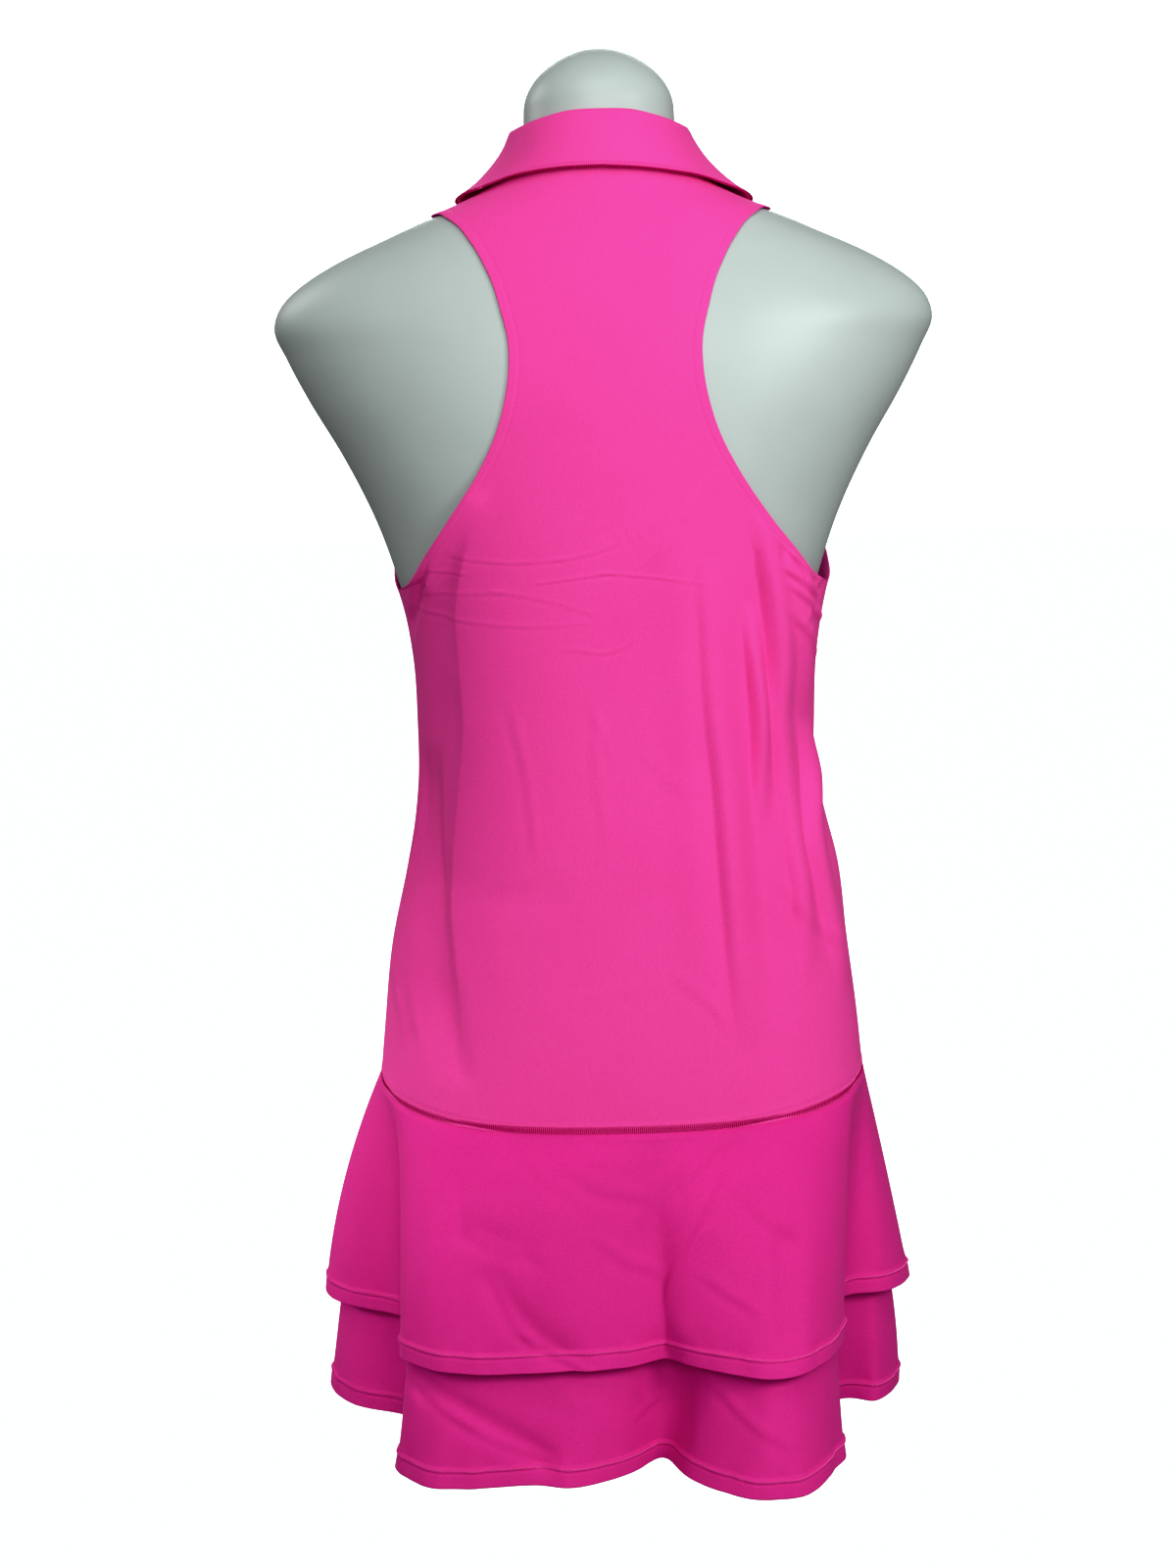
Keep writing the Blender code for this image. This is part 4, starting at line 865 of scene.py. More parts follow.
def collar_middle(station, draw, rise, stand_rows, roll_rows, leaf_rows):
    """Middle of the collar's cloth along one half. The profile rises straight up the stand, turns over
    an arc as far as the leaf's own direction, and runs down the leaf, crowned by 4 s (1 - s)."""
    stations = COLLAR["station"]
    stand, lean, crown, lift = (smooth(stations, COLLAR[name], station)
                                for name in ("stand", "lean", "crown", "lift"))
    held = np.minimum(stations / LEFT_LEAF_START, 1.0)
    edge_heights = COLLAR["edge_height"] + rise * held
    edge_halves = COLLAR["edge_half_width"] * (1 - draw * held)
    edge_turns = turn_at(edge_heights, edge_halves, COLLAR["on_front"] > 0)
    edge = lifted(smooth(stations, edge_heights, station), smooth(stations, edge_turns, station), lift)
    height, turn = neckline_route(station)
    seam = lifted(height, turn, np.full(station.shape, CLOTH_LIFT))
    normal = outward(on_dress(height, turn))
    route = unit(np.gradient(seam, axis=0))
    opening = unit(np.cross(normal, route))
    lean = np.radians(lean)[:, None]
    up = np.cos(lean) * opening + np.sin(lean) * normal
    out = np.cos(lean) * normal - np.sin(lean) * opening
    start = seam + opening * COLLAR_GAP + up * (COLLAR_STEP * np.sin(lean))
    centre = start + up * (stand[:, None] - COLLAR_ROLL) + out * COLLAR_ROLL
    chord = edge - centre
    tilt = np.arctan2(np.sum(chord * out, axis=-1), -np.sum(chord * up, axis=-1))[:, None]
    steps = np.linspace(0, 1, stand_rows)[:, None, None]
    stand_part = start + up * (stand[:, None] - COLLAR_ROLL) * steps
    angle = (np.pi - tilt) * np.linspace(0, 1, roll_rows + 1)[1:, None, None]
    roll_part = centre + COLLAR_ROLL * (up * np.sin(angle) - out * np.cos(angle))
    steps = np.linspace(0, 1, leaf_rows + 1)[1:, None, None]
    leaf = roll_part[-1] + (edge - roll_part[-1]) * steps
    leaf = leaf + normal * crown[:, None] * 4 * steps * (1 - steps)
    leaf = leaf + (held_off(leaf, LEAF_CLEARANCE) - leaf) * ramp(0.0, 0.6, steps)
    return np.concatenate([stand_part, roll_part, leaf])


def hem_curve(tier, turn):
    """Point of a tier's hem at a turn: the smooth closed curve through the rows of the hem table."""
    turns, *places = (np.concatenate([values[-3:], values, values[:3]]) for values in
                      [HEMS["turn"]] + [HEMS[f"{tier}_{axis}"] for axis in ("x", "y", "height")])
    turns[:3] -= FULL_TURN
    turns[-3:] += FULL_TURN
    return np.stack([smooth(turns, values, turn) for values in places], axis=-1)


def level_normal(form, turn, v):
    """Level normal of a tier's form: a short step round it, turned a quarter outwards."""
    along = form(turn + 0.2, v) - form(turn - 0.2, v)
    return unit(np.stack([along[..., 1], -along[..., 0], np.zeros(along.shape[:2])], axis=-1))


def upper_form(turn, v):
    """Middle of the upper tier at shares v of the way from the waist seam to its hem. The plan point
    goes from seam to hem by the share v (flare - (flare - 1) v), and the height falls evenly."""
    top = lifted(waist_seam_height(turn), turn, np.full(turn.shape, TIER_TOP_LIFT))
    top[:, 2] = waist_seam_height(turn) - TIER_TOP_DROP
    flare = UPPER_FLARE - UPPER_FLARE_LEAN * np.sin(np.radians(turn))
    out = v * (flare - (flare - 1) * v)
    return top + (hem_curve("upper", turn) - top) * np.stack([out, out, v], axis=-1)


def lower_form(turn, v):
    """Middle of the lower tier at shares v of its height: inside the upper tier's form by a widening
    gap, then swinging out to its own hem."""
    seam = waist_seam_height(turn) - TIER_TOP_DROP
    hem = hem_curve("lower", turn)
    upper_hem = hem_curve("upper", turn)[:, 2]
    height = seam + (hem[:, 2] - seam) * v
    reach = (seam - height) / (seam - upper_hem)
    close = np.minimum(sum(bell(fold, OUTER_FOLD_WIDTH, turn) for fold in OUTER_FOLD_TURNS), 1.0)
    hem_gap = LAYER_GAP_HEM + (LAYER_GAP_FOLDS - LAYER_GAP_HEM) * close
    gap = LAYER_GAP_TOP + (hem_gap - LAYER_GAP_TOP) * np.minimum(reach, 1.0)
    inside = upper_form(turn, reach) - level_normal(upper_form, turn, reach) * gap[..., None]
    swing = np.clip((reach - LOWER_SWING_START) / (reach[-1] - LOWER_SWING_START), 0, 1)
    inside = inside + (hem - inside[-1]) * (swing ** LOWER_SWING_POWER)[..., None]
    inside[..., 2] = height
    return inside


TIER_FORMS = {"upper": upper_form, "lower": lower_form}
# Ripples of the cloth along the hems, as length, height and start: the hem's thread draws it in a little.
HEM_RIPPLES = ((0.019, 0.00022, 0.1), (0.031, 0.00030, 0.6), (0.0113, 0.00010, 0.3))


def tier_grid(tier, side, columns, rows):
    """Middle of a tier's cloth, from the seam down to the hem, whose last rows lie close together. Folds
    and creases push it out level; the turned-up hem is thicker below a stitched ridge."""
    form = TIER_FORMS[tier]
    name = f"{tier}_tier_{side}"
    first, last = TIER_SIDES[side]
    turns = np.linspace(first + TIER_SIDE_PARTING, last - TIER_SIDE_PARTING, 2881)
    distance = along_route(hem_curve("upper", turns)) + along_route(hem_curve("lower", turns))
    turn = np.interp(np.linspace(0, distance[-1], columns), distance, turns)
    depth = WAIST_SEAM_HEIGHT - TIER_HEM_HEIGHTS[tier]
    hem_share, top_share = 1.35 * HEM_TURN_UP / depth, TIER_TOP_BAND / depth
    open_rows = rows - HEM_EDGE_ROWS - TIER_TOP_ROWS
    v = np.concatenate([np.linspace(0, top_share, TIER_TOP_ROWS, endpoint=False),
                        np.linspace(top_share, 1 - hem_share, open_rows, endpoint=False),
                        np.linspace(1 - hem_share, 1, HEM_EDGE_ROWS)])
    v = np.broadcast_to(v[:, None], (len(v), columns))
    middle = form(turn, v)
    level = level_normal(form, turn, v)
    x, z = middle[..., 0], middle[..., 2]
    grow = ramp(0.0, 0.12, v)
    folds = fold_height(name, x, z)
    if tier == "lower":
        folds = folds + fold_height(f"upper_tier_{side}", x, z)
    relief = (folds + crease_height(name, x, z) + drape_height(name, x, z)) * grow
    route = along_route(middle)
    above = route[-1] - route
    along = along_route(middle[-1])[None, :]
    pull = 1 - ramp(HEM_TURN_UP, HEM_TURN_UP + 9 * MM, above)
    relief += ripples(along, HEM_RIPPLES) * pull * (0.4 + 0.6 * ramp(0, HEM_TURN_UP, above))
    relief += HEM_RIDGE * bell(HEM_TURN_UP, HEM_RIDGE_WIDTH, above)
    relief += HEM_THICKER * (1 - ramp(HEM_TURN_UP - 2.2 * MM, HEM_TURN_UP - 0.8 * MM, above))
    relief -= HEM_GROOVE * bell(HEM_TURN_UP - HEM_GROOVE_BELOW, HEM_GROOVE_WIDTH, above)
    if tier == "upper":
        relief -= TIER_TOP_TUCK * (1 - ramp(0.0, 3.0 * MM, route))
    return middle + level * relief[..., None]


# ---- Sewing thread ----
def rail(middle, distance):
    """Points and normals of the line across a grid that lies at a distance from its first row, measured
    along each column; a negative distance is from its last row."""
    normal = grid_normals(middle)
    if distance < 0:
        middle, normal, distance = middle[::-1], normal[::-1], -distance
    route = along_route(middle)
    below = np.clip(np.sum(route <= distance, axis=0) - 1, 0, len(route) - 2)
    here = np.arange(middle.shape[1])
    share = ((distance - route[below, here]) / (route[below + 1, here] - route[below, here]))[:, None]
    points = middle[below, here] * (1 - share) + middle[below + 1, here] * share
    return points, unit(normal[below, here] * (1 - share) + normal[below + 1, here] * share)


def at_distance(route, values, distance):
    """Points or normals of a route at distances from its start."""
    return np.stack([np.interp(distance, route, values[:, axis]) for axis in range(3)], axis=-1)


def stitches(name, rails, pitch, length, width, height, slant, proud, finish, rings=3, sides=5):
    """A row of short thread stitches along rails of (points, normals).

    Each stitch is a closed spindle of RINGS rings: its half width and half height follow the root of
    1 - s squared from end to end. It lies in the surface, turned from the rail by SLANT degrees.
    """
    all_points, all_faces, count = [], [], 0
    s = np.sin(np.linspace(-1, 1, rings + 2)[1:-1] * np.pi / 2)
    body = np.sqrt(1 - s ** 2)
    ring = np.linspace(0, 2 * np.pi, sides, endpoint=False)
    local = np.stack(np.broadcast_arrays(
        s[:, None] * length / 2, np.cos(ring) * body[:, None] * width / 2,
        np.sin(ring) * body[:, None] * height / 2), axis=-1).reshape(-1, 3)
    local = np.concatenate([local, [(-length / 2, 0, 0), (length / 2, 0, 0)]])
    index = np.arange(rings * sides).reshape(rings, sides)
    body_faces, tip_faces = capped(index, rings * sides, rings * sides + 1)
    for points, normals in rails:
        route = along_route(points)
        at = np.arange(pitch / 2, route[-1], pitch)
        normal = unit(at_distance(route, normals, at))
        near = 0.3 * pitch
        along = unit(at_distance(route, points, at + near) - at_distance(route, points, at - near))
        side = unit(np.cross(normal, along))
        turn = np.radians(slant)
        axes = np.stack([along * np.cos(turn) + side * np.sin(turn),
                         side * np.cos(turn) - along * np.sin(turn), normal], axis=1)
        placed = (at_distance(route, points, at) + normal * proud)[:, None] + local @ axes
        starts = (np.arange(len(at)) * len(local) + count)[:, None, None]
        all_faces += (body_faces[None] + starts).reshape(-1, 4).tolist()
        all_faces += (tip_faces[None] + starts).reshape(-1, 3).tolist()
        all_points.append(placed.reshape(-1, 3))
        count += placed.shape[0] * placed.shape[1]
    return add_piece(name, np.concatenate(all_points), all_faces, finish)


# ---- Materials ----
def new_material(name):
    """A fresh material with its node tree, and the tree's Principled BSDF."""
    old = bpy.data.materials.get(name)
    if old is not None:
        bpy.data.materials.remove(old)
    made = bpy.data.materials.new(name)
    made.use_nodes = True
    return made, made.node_tree, made.node_tree.nodes["Principled BSDF"]


def node(tree, kind, values=None, **links):
    """Adds a shader node. VALUES are its properties, or its inputs by name or place; LINKS join its
    inputs, whose spaces are written as underscores, to the sockets given."""
    made = tree.nodes.new("ShaderNode" + kind)
    for key, value in (values or {}).items():
        if isinstance(key, str) and hasattr(made, key):
            setattr(made, key, value)
        else:
            made.inputs[key].default_value = value
    for key, socket in links.items():
        place = int(key[1:]) if key[0] == "i" and key[1:].isdigit() else key.replace("_", " ")
        tree.links.new(socket, made.inputs[place])
    return made


KNIT_SCALE = 420.0         # a wale of about 0.75 mm


def jersey_material(name, light, deep):
    """Polyester and elastane jersey, dyed hot pink. Its loops are too fine to see one by one, so it looks
    matt, with a faint grain and a soft bloom of light at grazing angles.

    The knit is a row of wales and courses on the cloth's own UV map: two crossed sine waves, drawn about
    twice as coarse as the real 0.4 mm loops, to show at all. The dye varies very slightly.
    """
    made, tree, shader = new_material(name)
    uv = node(tree, "UVMap", {"uv_map": "cloth"})
    place = node(tree, "TexCoord")
    wales = node(tree, "TexWave", {"wave_type": "BANDS", "bands_direction": "X", "Scale": KNIT_SCALE,
                                   "Distortion": 0.6, "Detail": 1.0, "Detail Scale": 1.5},
                 Vector=uv.outputs["UV"])
    courses = node(tree, "TexWave", {"wave_type": "BANDS", "bands_direction": "Y",
                                     "Scale": KNIT_SCALE * 0.8, "Distortion": 0.6, "Detail": 1.0},
                   Vector=uv.outputs["UV"])
    loops = node(tree, "Math", {"operation": "MULTIPLY"}, i0=wales.outputs["Fac"], i1=courses.outputs["Fac"])
    grain = node(tree, "TexNoise", {"Scale": 900.0, "Detail": 3.0, "Roughness": 0.65},
                 Vector=place.outputs["Object"])
    height = node(tree, "Math", {"operation": "MULTIPLY_ADD", 1: 0.7},
                  i0=grain.outputs["Fac"], i2=loops.outputs["Value"])
    fine = node(tree, "Bump", {"Strength": 0.22, "Distance": 0.25 * MM}, Height=height.outputs["Value"])
    slack = node(tree, "TexNoise", {"Scale": 26.0, "Detail": 2.5, "Roughness": 0.5},
                 Vector=place.outputs["Object"])
    soft = node(tree, "Bump", {"Strength": 0.10, "Distance": 3.0 * MM},
                Height=slack.outputs["Fac"], Normal=fine.outputs["Normal"])
    dye = node(tree, "TexNoise", {"Scale": 9.0, "Detail": 4.0, "Roughness": 0.6},
               Vector=place.outputs["Object"])
    spread = node(tree, "MapRange", {"From Min": 0.3, "From Max": 0.7}, Value=dye.outputs["Fac"])
    base = node(tree, "Mix", {"data_type": "RGBA", 6: (*light, 1), 7: (*deep, 1)},
                i0=spread.outputs["Result"])
    speck = node(tree, "MapRange", {"From Min": 0.25, "From Max": 0.75, "To Min": 0.90, "To Max": 1.07},
                 Value=grain.outputs["Fac"])
    flecked = node(tree, "VectorMath", {"operation": "SCALE"}, i0=base.outputs[2],
                   Scale=speck.outputs["Result"])
    tree.links.new(flecked.outputs["Vector"], shader.inputs["Base Color"])
    tree.links.new(soft.outputs["Normal"], shader.inputs["Normal"])
    for socket, value in {"Roughness": 0.78, "IOR": 1.5, "Specular IOR Level": 0.22, "Sheen Weight": 0.14,
                          "Sheen Roughness": 0.45, "Sheen Tint": (*linear("FF8FD0"), 1)}.items():
        shader.inputs[socket].default_value = value
    return made


def thread_material(name, colour):
    """Textured polyester sewing thread: a soft line with a twist too fine to draw. The hem thread, slightly
    lighter than the cloth, is partly painted highlight; the dark seam thread is painted shade.
    """
    made, tree, shader = new_material(name)
    place = node(tree, "TexCoord")
    fibre = node(tree, "TexNoise", {"Scale": 2200.0, "Detail": 2.0}, Vector=place.outputs["Object"])
    shade = node(tree, "MapRange", {"From Min": 0.3, "From Max": 0.7, "To Min": 0.82, "To Max": 1.08},
                 Value=fibre.outputs["Fac"])
    base = node(tree, "VectorMath", {"operation": "SCALE", 0: tuple(colour)}, Scale=shade.outputs["Result"])
    bump = node(tree, "Bump", {"Strength": 0.3, "Distance": 0.1 * MM}, Height=fibre.outputs["Fac"])
    tree.links.new(base.outputs["Vector"], shader.inputs["Base Color"])
    tree.links.new(bump.outputs["Normal"], shader.inputs["Normal"])
    shader.inputs["Roughness"].default_value = 0.6
    shader.inputs["Specular IOR Level"].default_value = 0.15
    return made


def form_material(name, colour):
    """Satin polyurethane enamel over moulded glass-fibre: smooth and pale, with a broad soft highlight,
    very faint unevenness of the moulding and a trace of dust in its colour."""
    made, tree, shader = new_material(name)
    place = node(tree, "TexCoord")
    broad = node(tree, "TexNoise", {"Scale": 14.0, "Detail": 3.0}, Vector=place.outputs["Object"])
    spray = node(tree, "TexNoise", {"Scale": 1500.0, "Detail": 1.0}, Vector=place.outputs["Object"])
    dust = node(tree, "MapRange", {"From Min": 0.3, "From Max": 0.7, "To Min": 0.965, "To Max": 1.02},
                Value=broad.outputs["Fac"])
    base = node(tree, "VectorMath", {"operation": "SCALE", 0: tuple(colour)}, Scale=dust.outputs["Result"])
    matt = node(tree, "MapRange", {"To Min": 0.36, "To Max": 0.46}, Value=broad.outputs["Fac"])
    bump = node(tree, "Bump", {"Strength": 0.06, "Distance": 0.2 * MM}, Height=spray.outputs["Fac"])
    tree.links.new(base.outputs["Vector"], shader.inputs["Base Color"])
    tree.links.new(matt.outputs["Result"], shader.inputs["Roughness"])
    tree.links.new(bump.outputs["Normal"], shader.inputs["Normal"])
    return made


def floor_material(name, colour):
    """Pale seamless studio paper. It is lit up for the lens, so that it reads as one even white, and gives
    little light back to the dress."""
    made, tree, shader = new_material(name)
    shader.inputs["Base Color"].default_value = (*colour, 1)
    shader.inputs["Roughness"].default_value = 0.9
    ray = node(tree, "LightPath")
    glow = node(tree, "Emission", {"Color": (1, 1, 1, 1), "Strength": WHITE_POINT})
    share = node(tree, "Math", {"operation": "MULTIPLY", 1: 0.93}, i0=ray.outputs["Is Camera Ray"])
    mixed = node(tree, "MixShader", i0=share.outputs["Value"], i1=shader.outputs["BSDF"],
                 i2=glow.outputs["Emission"])
    tree.links.new(mixed.outputs["Shader"], tree.nodes["Material Output"].inputs["Surface"])
    return made


# ---- Settings ----
def colour_property(name, description, code):
    """A colour setting whose default is an sRGB hex colour."""
    return bpy.props.FloatVectorProperty(name=name, description=description, subtype="COLOR", size=3,
                                         min=0.0, max=1.0, default=linear(code))


def length_property(name, description, default):
    """A length setting, in metres."""
    return bpy.props.FloatProperty(name=name, description=description, default=default, min=0.0,
                                   unit="LENGTH", precision=5)


class DRESS_PG_cloth(bpy.types.PropertyGroup):
    """Sizes and colours of the jersey."""
    thickness: length_property("Jersey thickness", "Thickness of one layer of jersey", 0.8 * MM)
    collar_thickness: length_property("Collar thickness", "Outer and under collar together", 1.4 * MM)
    light: colour_property("Jersey", "Dye of the jersey", "F854AD")
    # The two skirt colours are the bodice's jersey drawn darker: painted shade, standing for the shade that
    # falls on the flared tiers.
    flared: colour_property("Skirt jersey", "The skirt's jersey, drawn darker as painted shade", "E33A99")
    flared_deep: colour_property("Skirt jersey, deeper", "Slightly deeper areas of the skirt", "DA3693")
    deep: colour_property("Jersey, deeper", "Slightly deeper areas of the same dye", "F450A8")


class DRESS_PG_thread(bpy.types.PropertyGroup):
    """Sizes and colours of the sewing thread."""
    pitch: length_property("Stitch pitch", "From one stitch to the next along a seam", 2.1 * MM)
    width: length_property("Thread width", "Width of a stitch", 0.55 * MM)
    # The hem thread is drawn lighter than the jersey, partly as painted highlight for the light that the
    # stitched ridges of the hems catch.
    light: colour_property("Hem thread", "Thread of the hems and the collar", "FF68BE")
    # The seam thread's dark crimson is painted shade: it stands for the shade in the waist seam's groove and
    # under the collar's edge.
    deep: colour_property("Seam thread", "Thread of the waist seam, in its shadow", "B00E55")


class DRESS_PG_form(bpy.types.PropertyGroup):
    """Fineness and colour of the dress form."""
    rings: bpy.props.IntProperty(name="Rings", description="Rings of the form's mesh", default=210, min=40)
    columns: bpy.props.IntProperty(name="Columns", description="Points round each ring", default=180, min=40)
    paint: colour_property("Form", "Paint of the dress form", "BAC5C1")


class DRESS_PG_stage(bpy.types.PropertyGroup):
    """Camera and floor."""
    eye: bpy.props.FloatVectorProperty(name="Camera place", description="Where the camera stands",
                                       size=3, subtype="TRANSLATION", default=(-0.0166, -1.5, 0.615))
    pitch: bpy.props.FloatProperty(name="Camera pitch", description="Tilt, downwards negative, degrees",
                                   default=-7.33)
    roll: bpy.props.FloatProperty(name="Camera roll", description="Turn about its own axis, degrees",
                                  default=1.3)
    focal: bpy.props.FloatProperty(name="Focal length in pixels", default=2310.0,
                                   description="Focal length, as pixels of a picture 1600 pixels high")
    floor: colour_property("Floor", "Studio paper", "898989")


def settings():
    """The scene's dress settings, each group by its own name."""
    scene = bpy.context.scene
    return scene.dress_cloth, scene.dress_thread, scene.dress_form, scene.dress_stage


def finishes():
    """The materials of the dress and the form, made once and then found by name."""
    cloth, thread, form, _ = settings()
    wanted = (
        (jersey_material, "hot pink stretch jersey", cloth.light, cloth.deep),
        # The skirt's jersey, drawn darker as painted shade.
        (jersey_material, "hot pink flared jersey", cloth.flared, cloth.flared_deep),
        # Thread drawn lighter, partly as painted highlight.
        (thread_material, "hot pink polyester thread", thread.light),
        # Thread drawn dark as painted shade.
        (thread_material, "shaded pink polyester thread", thread.deep),
        (form_material, "satin enamelled form", form.paint),
    )
    return [bpy.data.materials.get(name) or make(name, *colours) for make, name, *colours in wanted]


def belongs(piece, nodes=()):
    """Makes a piece ride on the part's body and stand for its CAD nodes, which it hides."""
    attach(piece, BODY)
    if nodes:
        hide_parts(*nodes)


PANELS = {
    "bodice_back": (BACK_ARMHOLE, SIDE_SEAM_TURN, BACK_CENTRE_ENDS, back_neckline, BACK_NECK_SHARE),
    "bodice_front": (FRONT_ARMHOLE, 180.0 - SIDE_SEAM_TURN - SIDE_SEAM_PARTING, FRONT_CENTRE_ENDS,
                     front_neckline, FRONT_NECK_SHARE),
}
# Fineness of the meshes: columns, then rows; a bodice panel's rows are those of its side seam and armhole.
PANEL_MESH = {"bodice_back": (317, 131, 110), "bodice_front": (221, 146, 119)}
TIER_MESH = {"upper": (301, 111), "lower": (301, 131)}
COLLAR_MESH = (150, (10, 8, 27))    # columns of half of it; rows of its stand, roll and leaf
BAND_ROWS = 16             # rows of a panel in the band over the waist seam
CREASED_FROM = 0.78        # share of the side seam above which its rows lie closer together,
CREASED_HOLE = 0.16        # and of the armhole below which they do, for the creases at the underarm
# Where a panel's columns crowd, for the long folds and the edges: share of its half width, width, how much.
COLUMN_CROWDING = ((0.60, 0.24, 1.5), (1.0, 0.05, 0.8))


def bodice_cloth(name):
    """Middle of a bodice panel's cloth, its columns from left to right as seen from outside."""
    in_front = name.endswith("front")
    middle = bodice_middle(name, panel_grid(*PANELS[name], *PANEL_MESH[name], front=in_front))
    return middle[:, ::-1] if in_front else middle


def collar_cloth():
    """Middle of the collar's cloth, from one side of the V round the neck to the other."""
    stations, rows = COLLAR_MESH
    half = np.linspace(0.0, COLLAR_END, stations)
    right = collar_middle(half, 0.0, 0.0, *rows)
    left = collar_middle(half, LEFT_LEAF_DRAW, LEFT_LEAF_RISE, *rows)[:, :0:-1]
    return np.concatenate([left * np.array([-1.0, 1.0, 1.0]), right], axis=1)


def tier_cloth(tier, side):
    """Middle of a panel of a skirt tier's cloth, from the hem up."""
    return tier_grid(tier, side, *TIER_MESH[tier])[::-1]


# ---- Operators ----
class DRESS_OT_form(bpy.types.Operator):
    """Build the smooth limbless form that the dress stands on"""
    bl_idname = "dress.form"
    bl_label = "Dress form"

    def execute(self, context):
        _, _, form, _ = settings()
        grid = form_grid(form.rings, form.columns)
        rings, columns = grid.shape[:2]
        points = np.concatenate([grid.reshape(-1, 3), [(0, 0, NECK_TOP), (0, 0, 0)]])
        index = np.arange(rings * columns).reshape(rings, columns)
        walls, ends = capped(index, rings * columns + 1, rings * columns)
        piece = add_piece("dress_form", points, walls.tolist() + ends.tolist(), finishes()[4])
        piece.data.set_sharp_from_angle(angle=np.radians(60))
        belongs(piece, ["form"])
        return {"FINISHED"}


class DRESS_OT_bodice(bpy.types.Operator):
    """Build the back and front panels of the bodice"""
    bl_idname = "dress.bodice"
    bl_label = "Bodice"

    def execute(self, context):
        cloth, _, _, _ = settings()
        for name in PANELS:
            piece = cloth_shell(f"{name}_jersey", bodice_cloth(name), cloth.thickness, finishes()[0])
            belongs(piece, [name])
        return {"FINISHED"}


class DRESS_OT_collar(bpy.types.Operator):
    """Build the turned-down collar"""
    bl_idname = "dress.collar"
    bl_label = "Collar"

    def execute(self, context):
        cloth, _, _, _ = settings()
        middle = collar_cloth()
        route = along_route(middle)
        stitched = 1 - ramp(LEAF_BAND - 1.0 * MM, LEAF_BAND, route[-1] - route)
        thickness = cloth.collar_thickness * COLLAR_PLY + LEAF_BAND_THICKER * stitched
        piece = cloth_shell("collar_jersey", middle, thickness, finishes()[0])
        belongs(piece, ["collar"])
        return {"FINISHED"}


class DRESS_OT_skirt(bpy.types.Operator):
    """Build the four panels of the two skirt tiers"""
    bl_idname = "dress.skirt"
    bl_label = "Skirt tiers"

    def execute(self, context):
        cloth, _, _, _ = settings()
        for side in TIER_SIDES:
            for tier in TIER_MESH:
                name = f"{tier}_tier_{side}"
                middle = tier_cloth(tier, side)
                turned = 1 - ramp(HEM_TURN_UP - 1 * MM, HEM_TURN_UP + 1 * MM, along_route(middle))
                thickness = cloth.thickness * (1 + HEM_PLIES * turned)
                # finishes()[1] is the jersey drawn darker for the skirt as painted shade.
                piece = cloth_shell(f"{name}_jersey", middle, thickness, finishes()[1])
                belongs(piece, [name])
        return {"FINISHED"}


class DRESS_OT_sewing(bpy.types.Operator):
    """Sew the waist seam, the hems and the collar's edge"""
    bl_idname = "dress.sewing"
    bl_label = "Sewing"

    def execute(self, context):
        _, thread, _, _ = settings()
        _, _, pale_thread_and_painted_highlight, shaded, _ = finishes()
        bodices = [bodice_cloth(name) for name in PANELS]
        collar = [collar_cloth()]
        hem = (HEM_TURN_UP, thread.pitch * 0.8, 2.4 * MM, thread.width * 1.2, 0.5 * MM, 48.0,
               0.6 * MM, pale_thread_and_painted_highlight)
        # Each row: the cloth, the distance of its rail, the pitch, length, width, height, slant in degrees
        # and outward shift of its stitches, and the thread.
        rows = {f"{tier}_hem": ([tier_cloth(tier, side) for side in TIER_SIDES], *hem) for tier in TIER_MESH}
        rows.update({
            # The waist seam's cover stitches are real; their dark thread is painted shade for the seam's
            # groove.
            "waist_seam_cover": (bodices, 2.7 * MM, 1.25 * MM, 5.0 * MM, 0.95 * MM, 0.6 * MM, 82.0,
                                 0.40 * MM, shaded),
            "waist_seam_top": (bodices, SEAM_BAND, thread.pitch, 2.0 * MM, 0.5 * MM, 0.5 * MM, 24.0,
                               0.45 * MM, pale_thread_and_painted_highlight),
            "collar_edge": (collar, -1.5 * MM, 1.5 * MM, 1.8 * MM, 0.6 * MM, 0.5 * MM, 80.0,
                            0.75 * MM, pale_thread_and_painted_highlight),
            # Dark stitches that reach out under the leaf's edge: a painted shadow for the gap beneath the
            # collar.
            "collar_painted_shadow": (collar, -0.2 * MM, 1.25 * MM, 5.6 * MM, 1.0 * MM, 0.7 * MM, 84.0,
                            -0.4 * MM, shaded),
        })
        for name, (grids, distance, *stitch) in rows.items():
            belongs(stitches(f"{name}_stitches", [rail(grid, distance) for grid in grids], *stitch))
        return {"FINISHED"}


def remove_lights_and_cameras():
    """Removes the lights and cameras that an earlier press made."""
    for thing in list(bpy.data.objects):
        if thing.type in {"LIGHT", "CAMERA"}:
            bpy.data.objects.remove(thing, do_unlink=True)


# Soft studio lights: turn and rise of each as seen from its aim, its distance, size, power, spread in degrees
# and aim. The gridded one lights the left side of the skirt, and the rear one the dress's front.
LIGHTS = {
    "front softbox": (0.0, 20.0, 1.6, 0.7, 10.5, 180.0, (0.0, -0.05, 0.5)),
    "right softbox": (42.0, 18.0, 1.6, 0.5, 12.0, 180.0, (0.0, -0.05, 0.5)),
    "high softbox": (0.0, 55.0, 1.6, 0.7, 5.0, 180.0, (0.0, -0.05, 0.5)),
    "left softbox": (-115.0, 35.0, 1.6, 0.7, 5.0, 180.0, (0.0, -0.05, 0.5)),
    "gridded softbox": (-78.0, 22.0, 1.0, 0.15, 0.13, 26.0, (-0.200, -0.01, 0.180)),
    "rear softbox": (180.0, 30.0, 1.6, 0.7, 8.0, 180.0, (0.0, 0.05, 0.5)),
}
SKY_LIGHT = 0.27
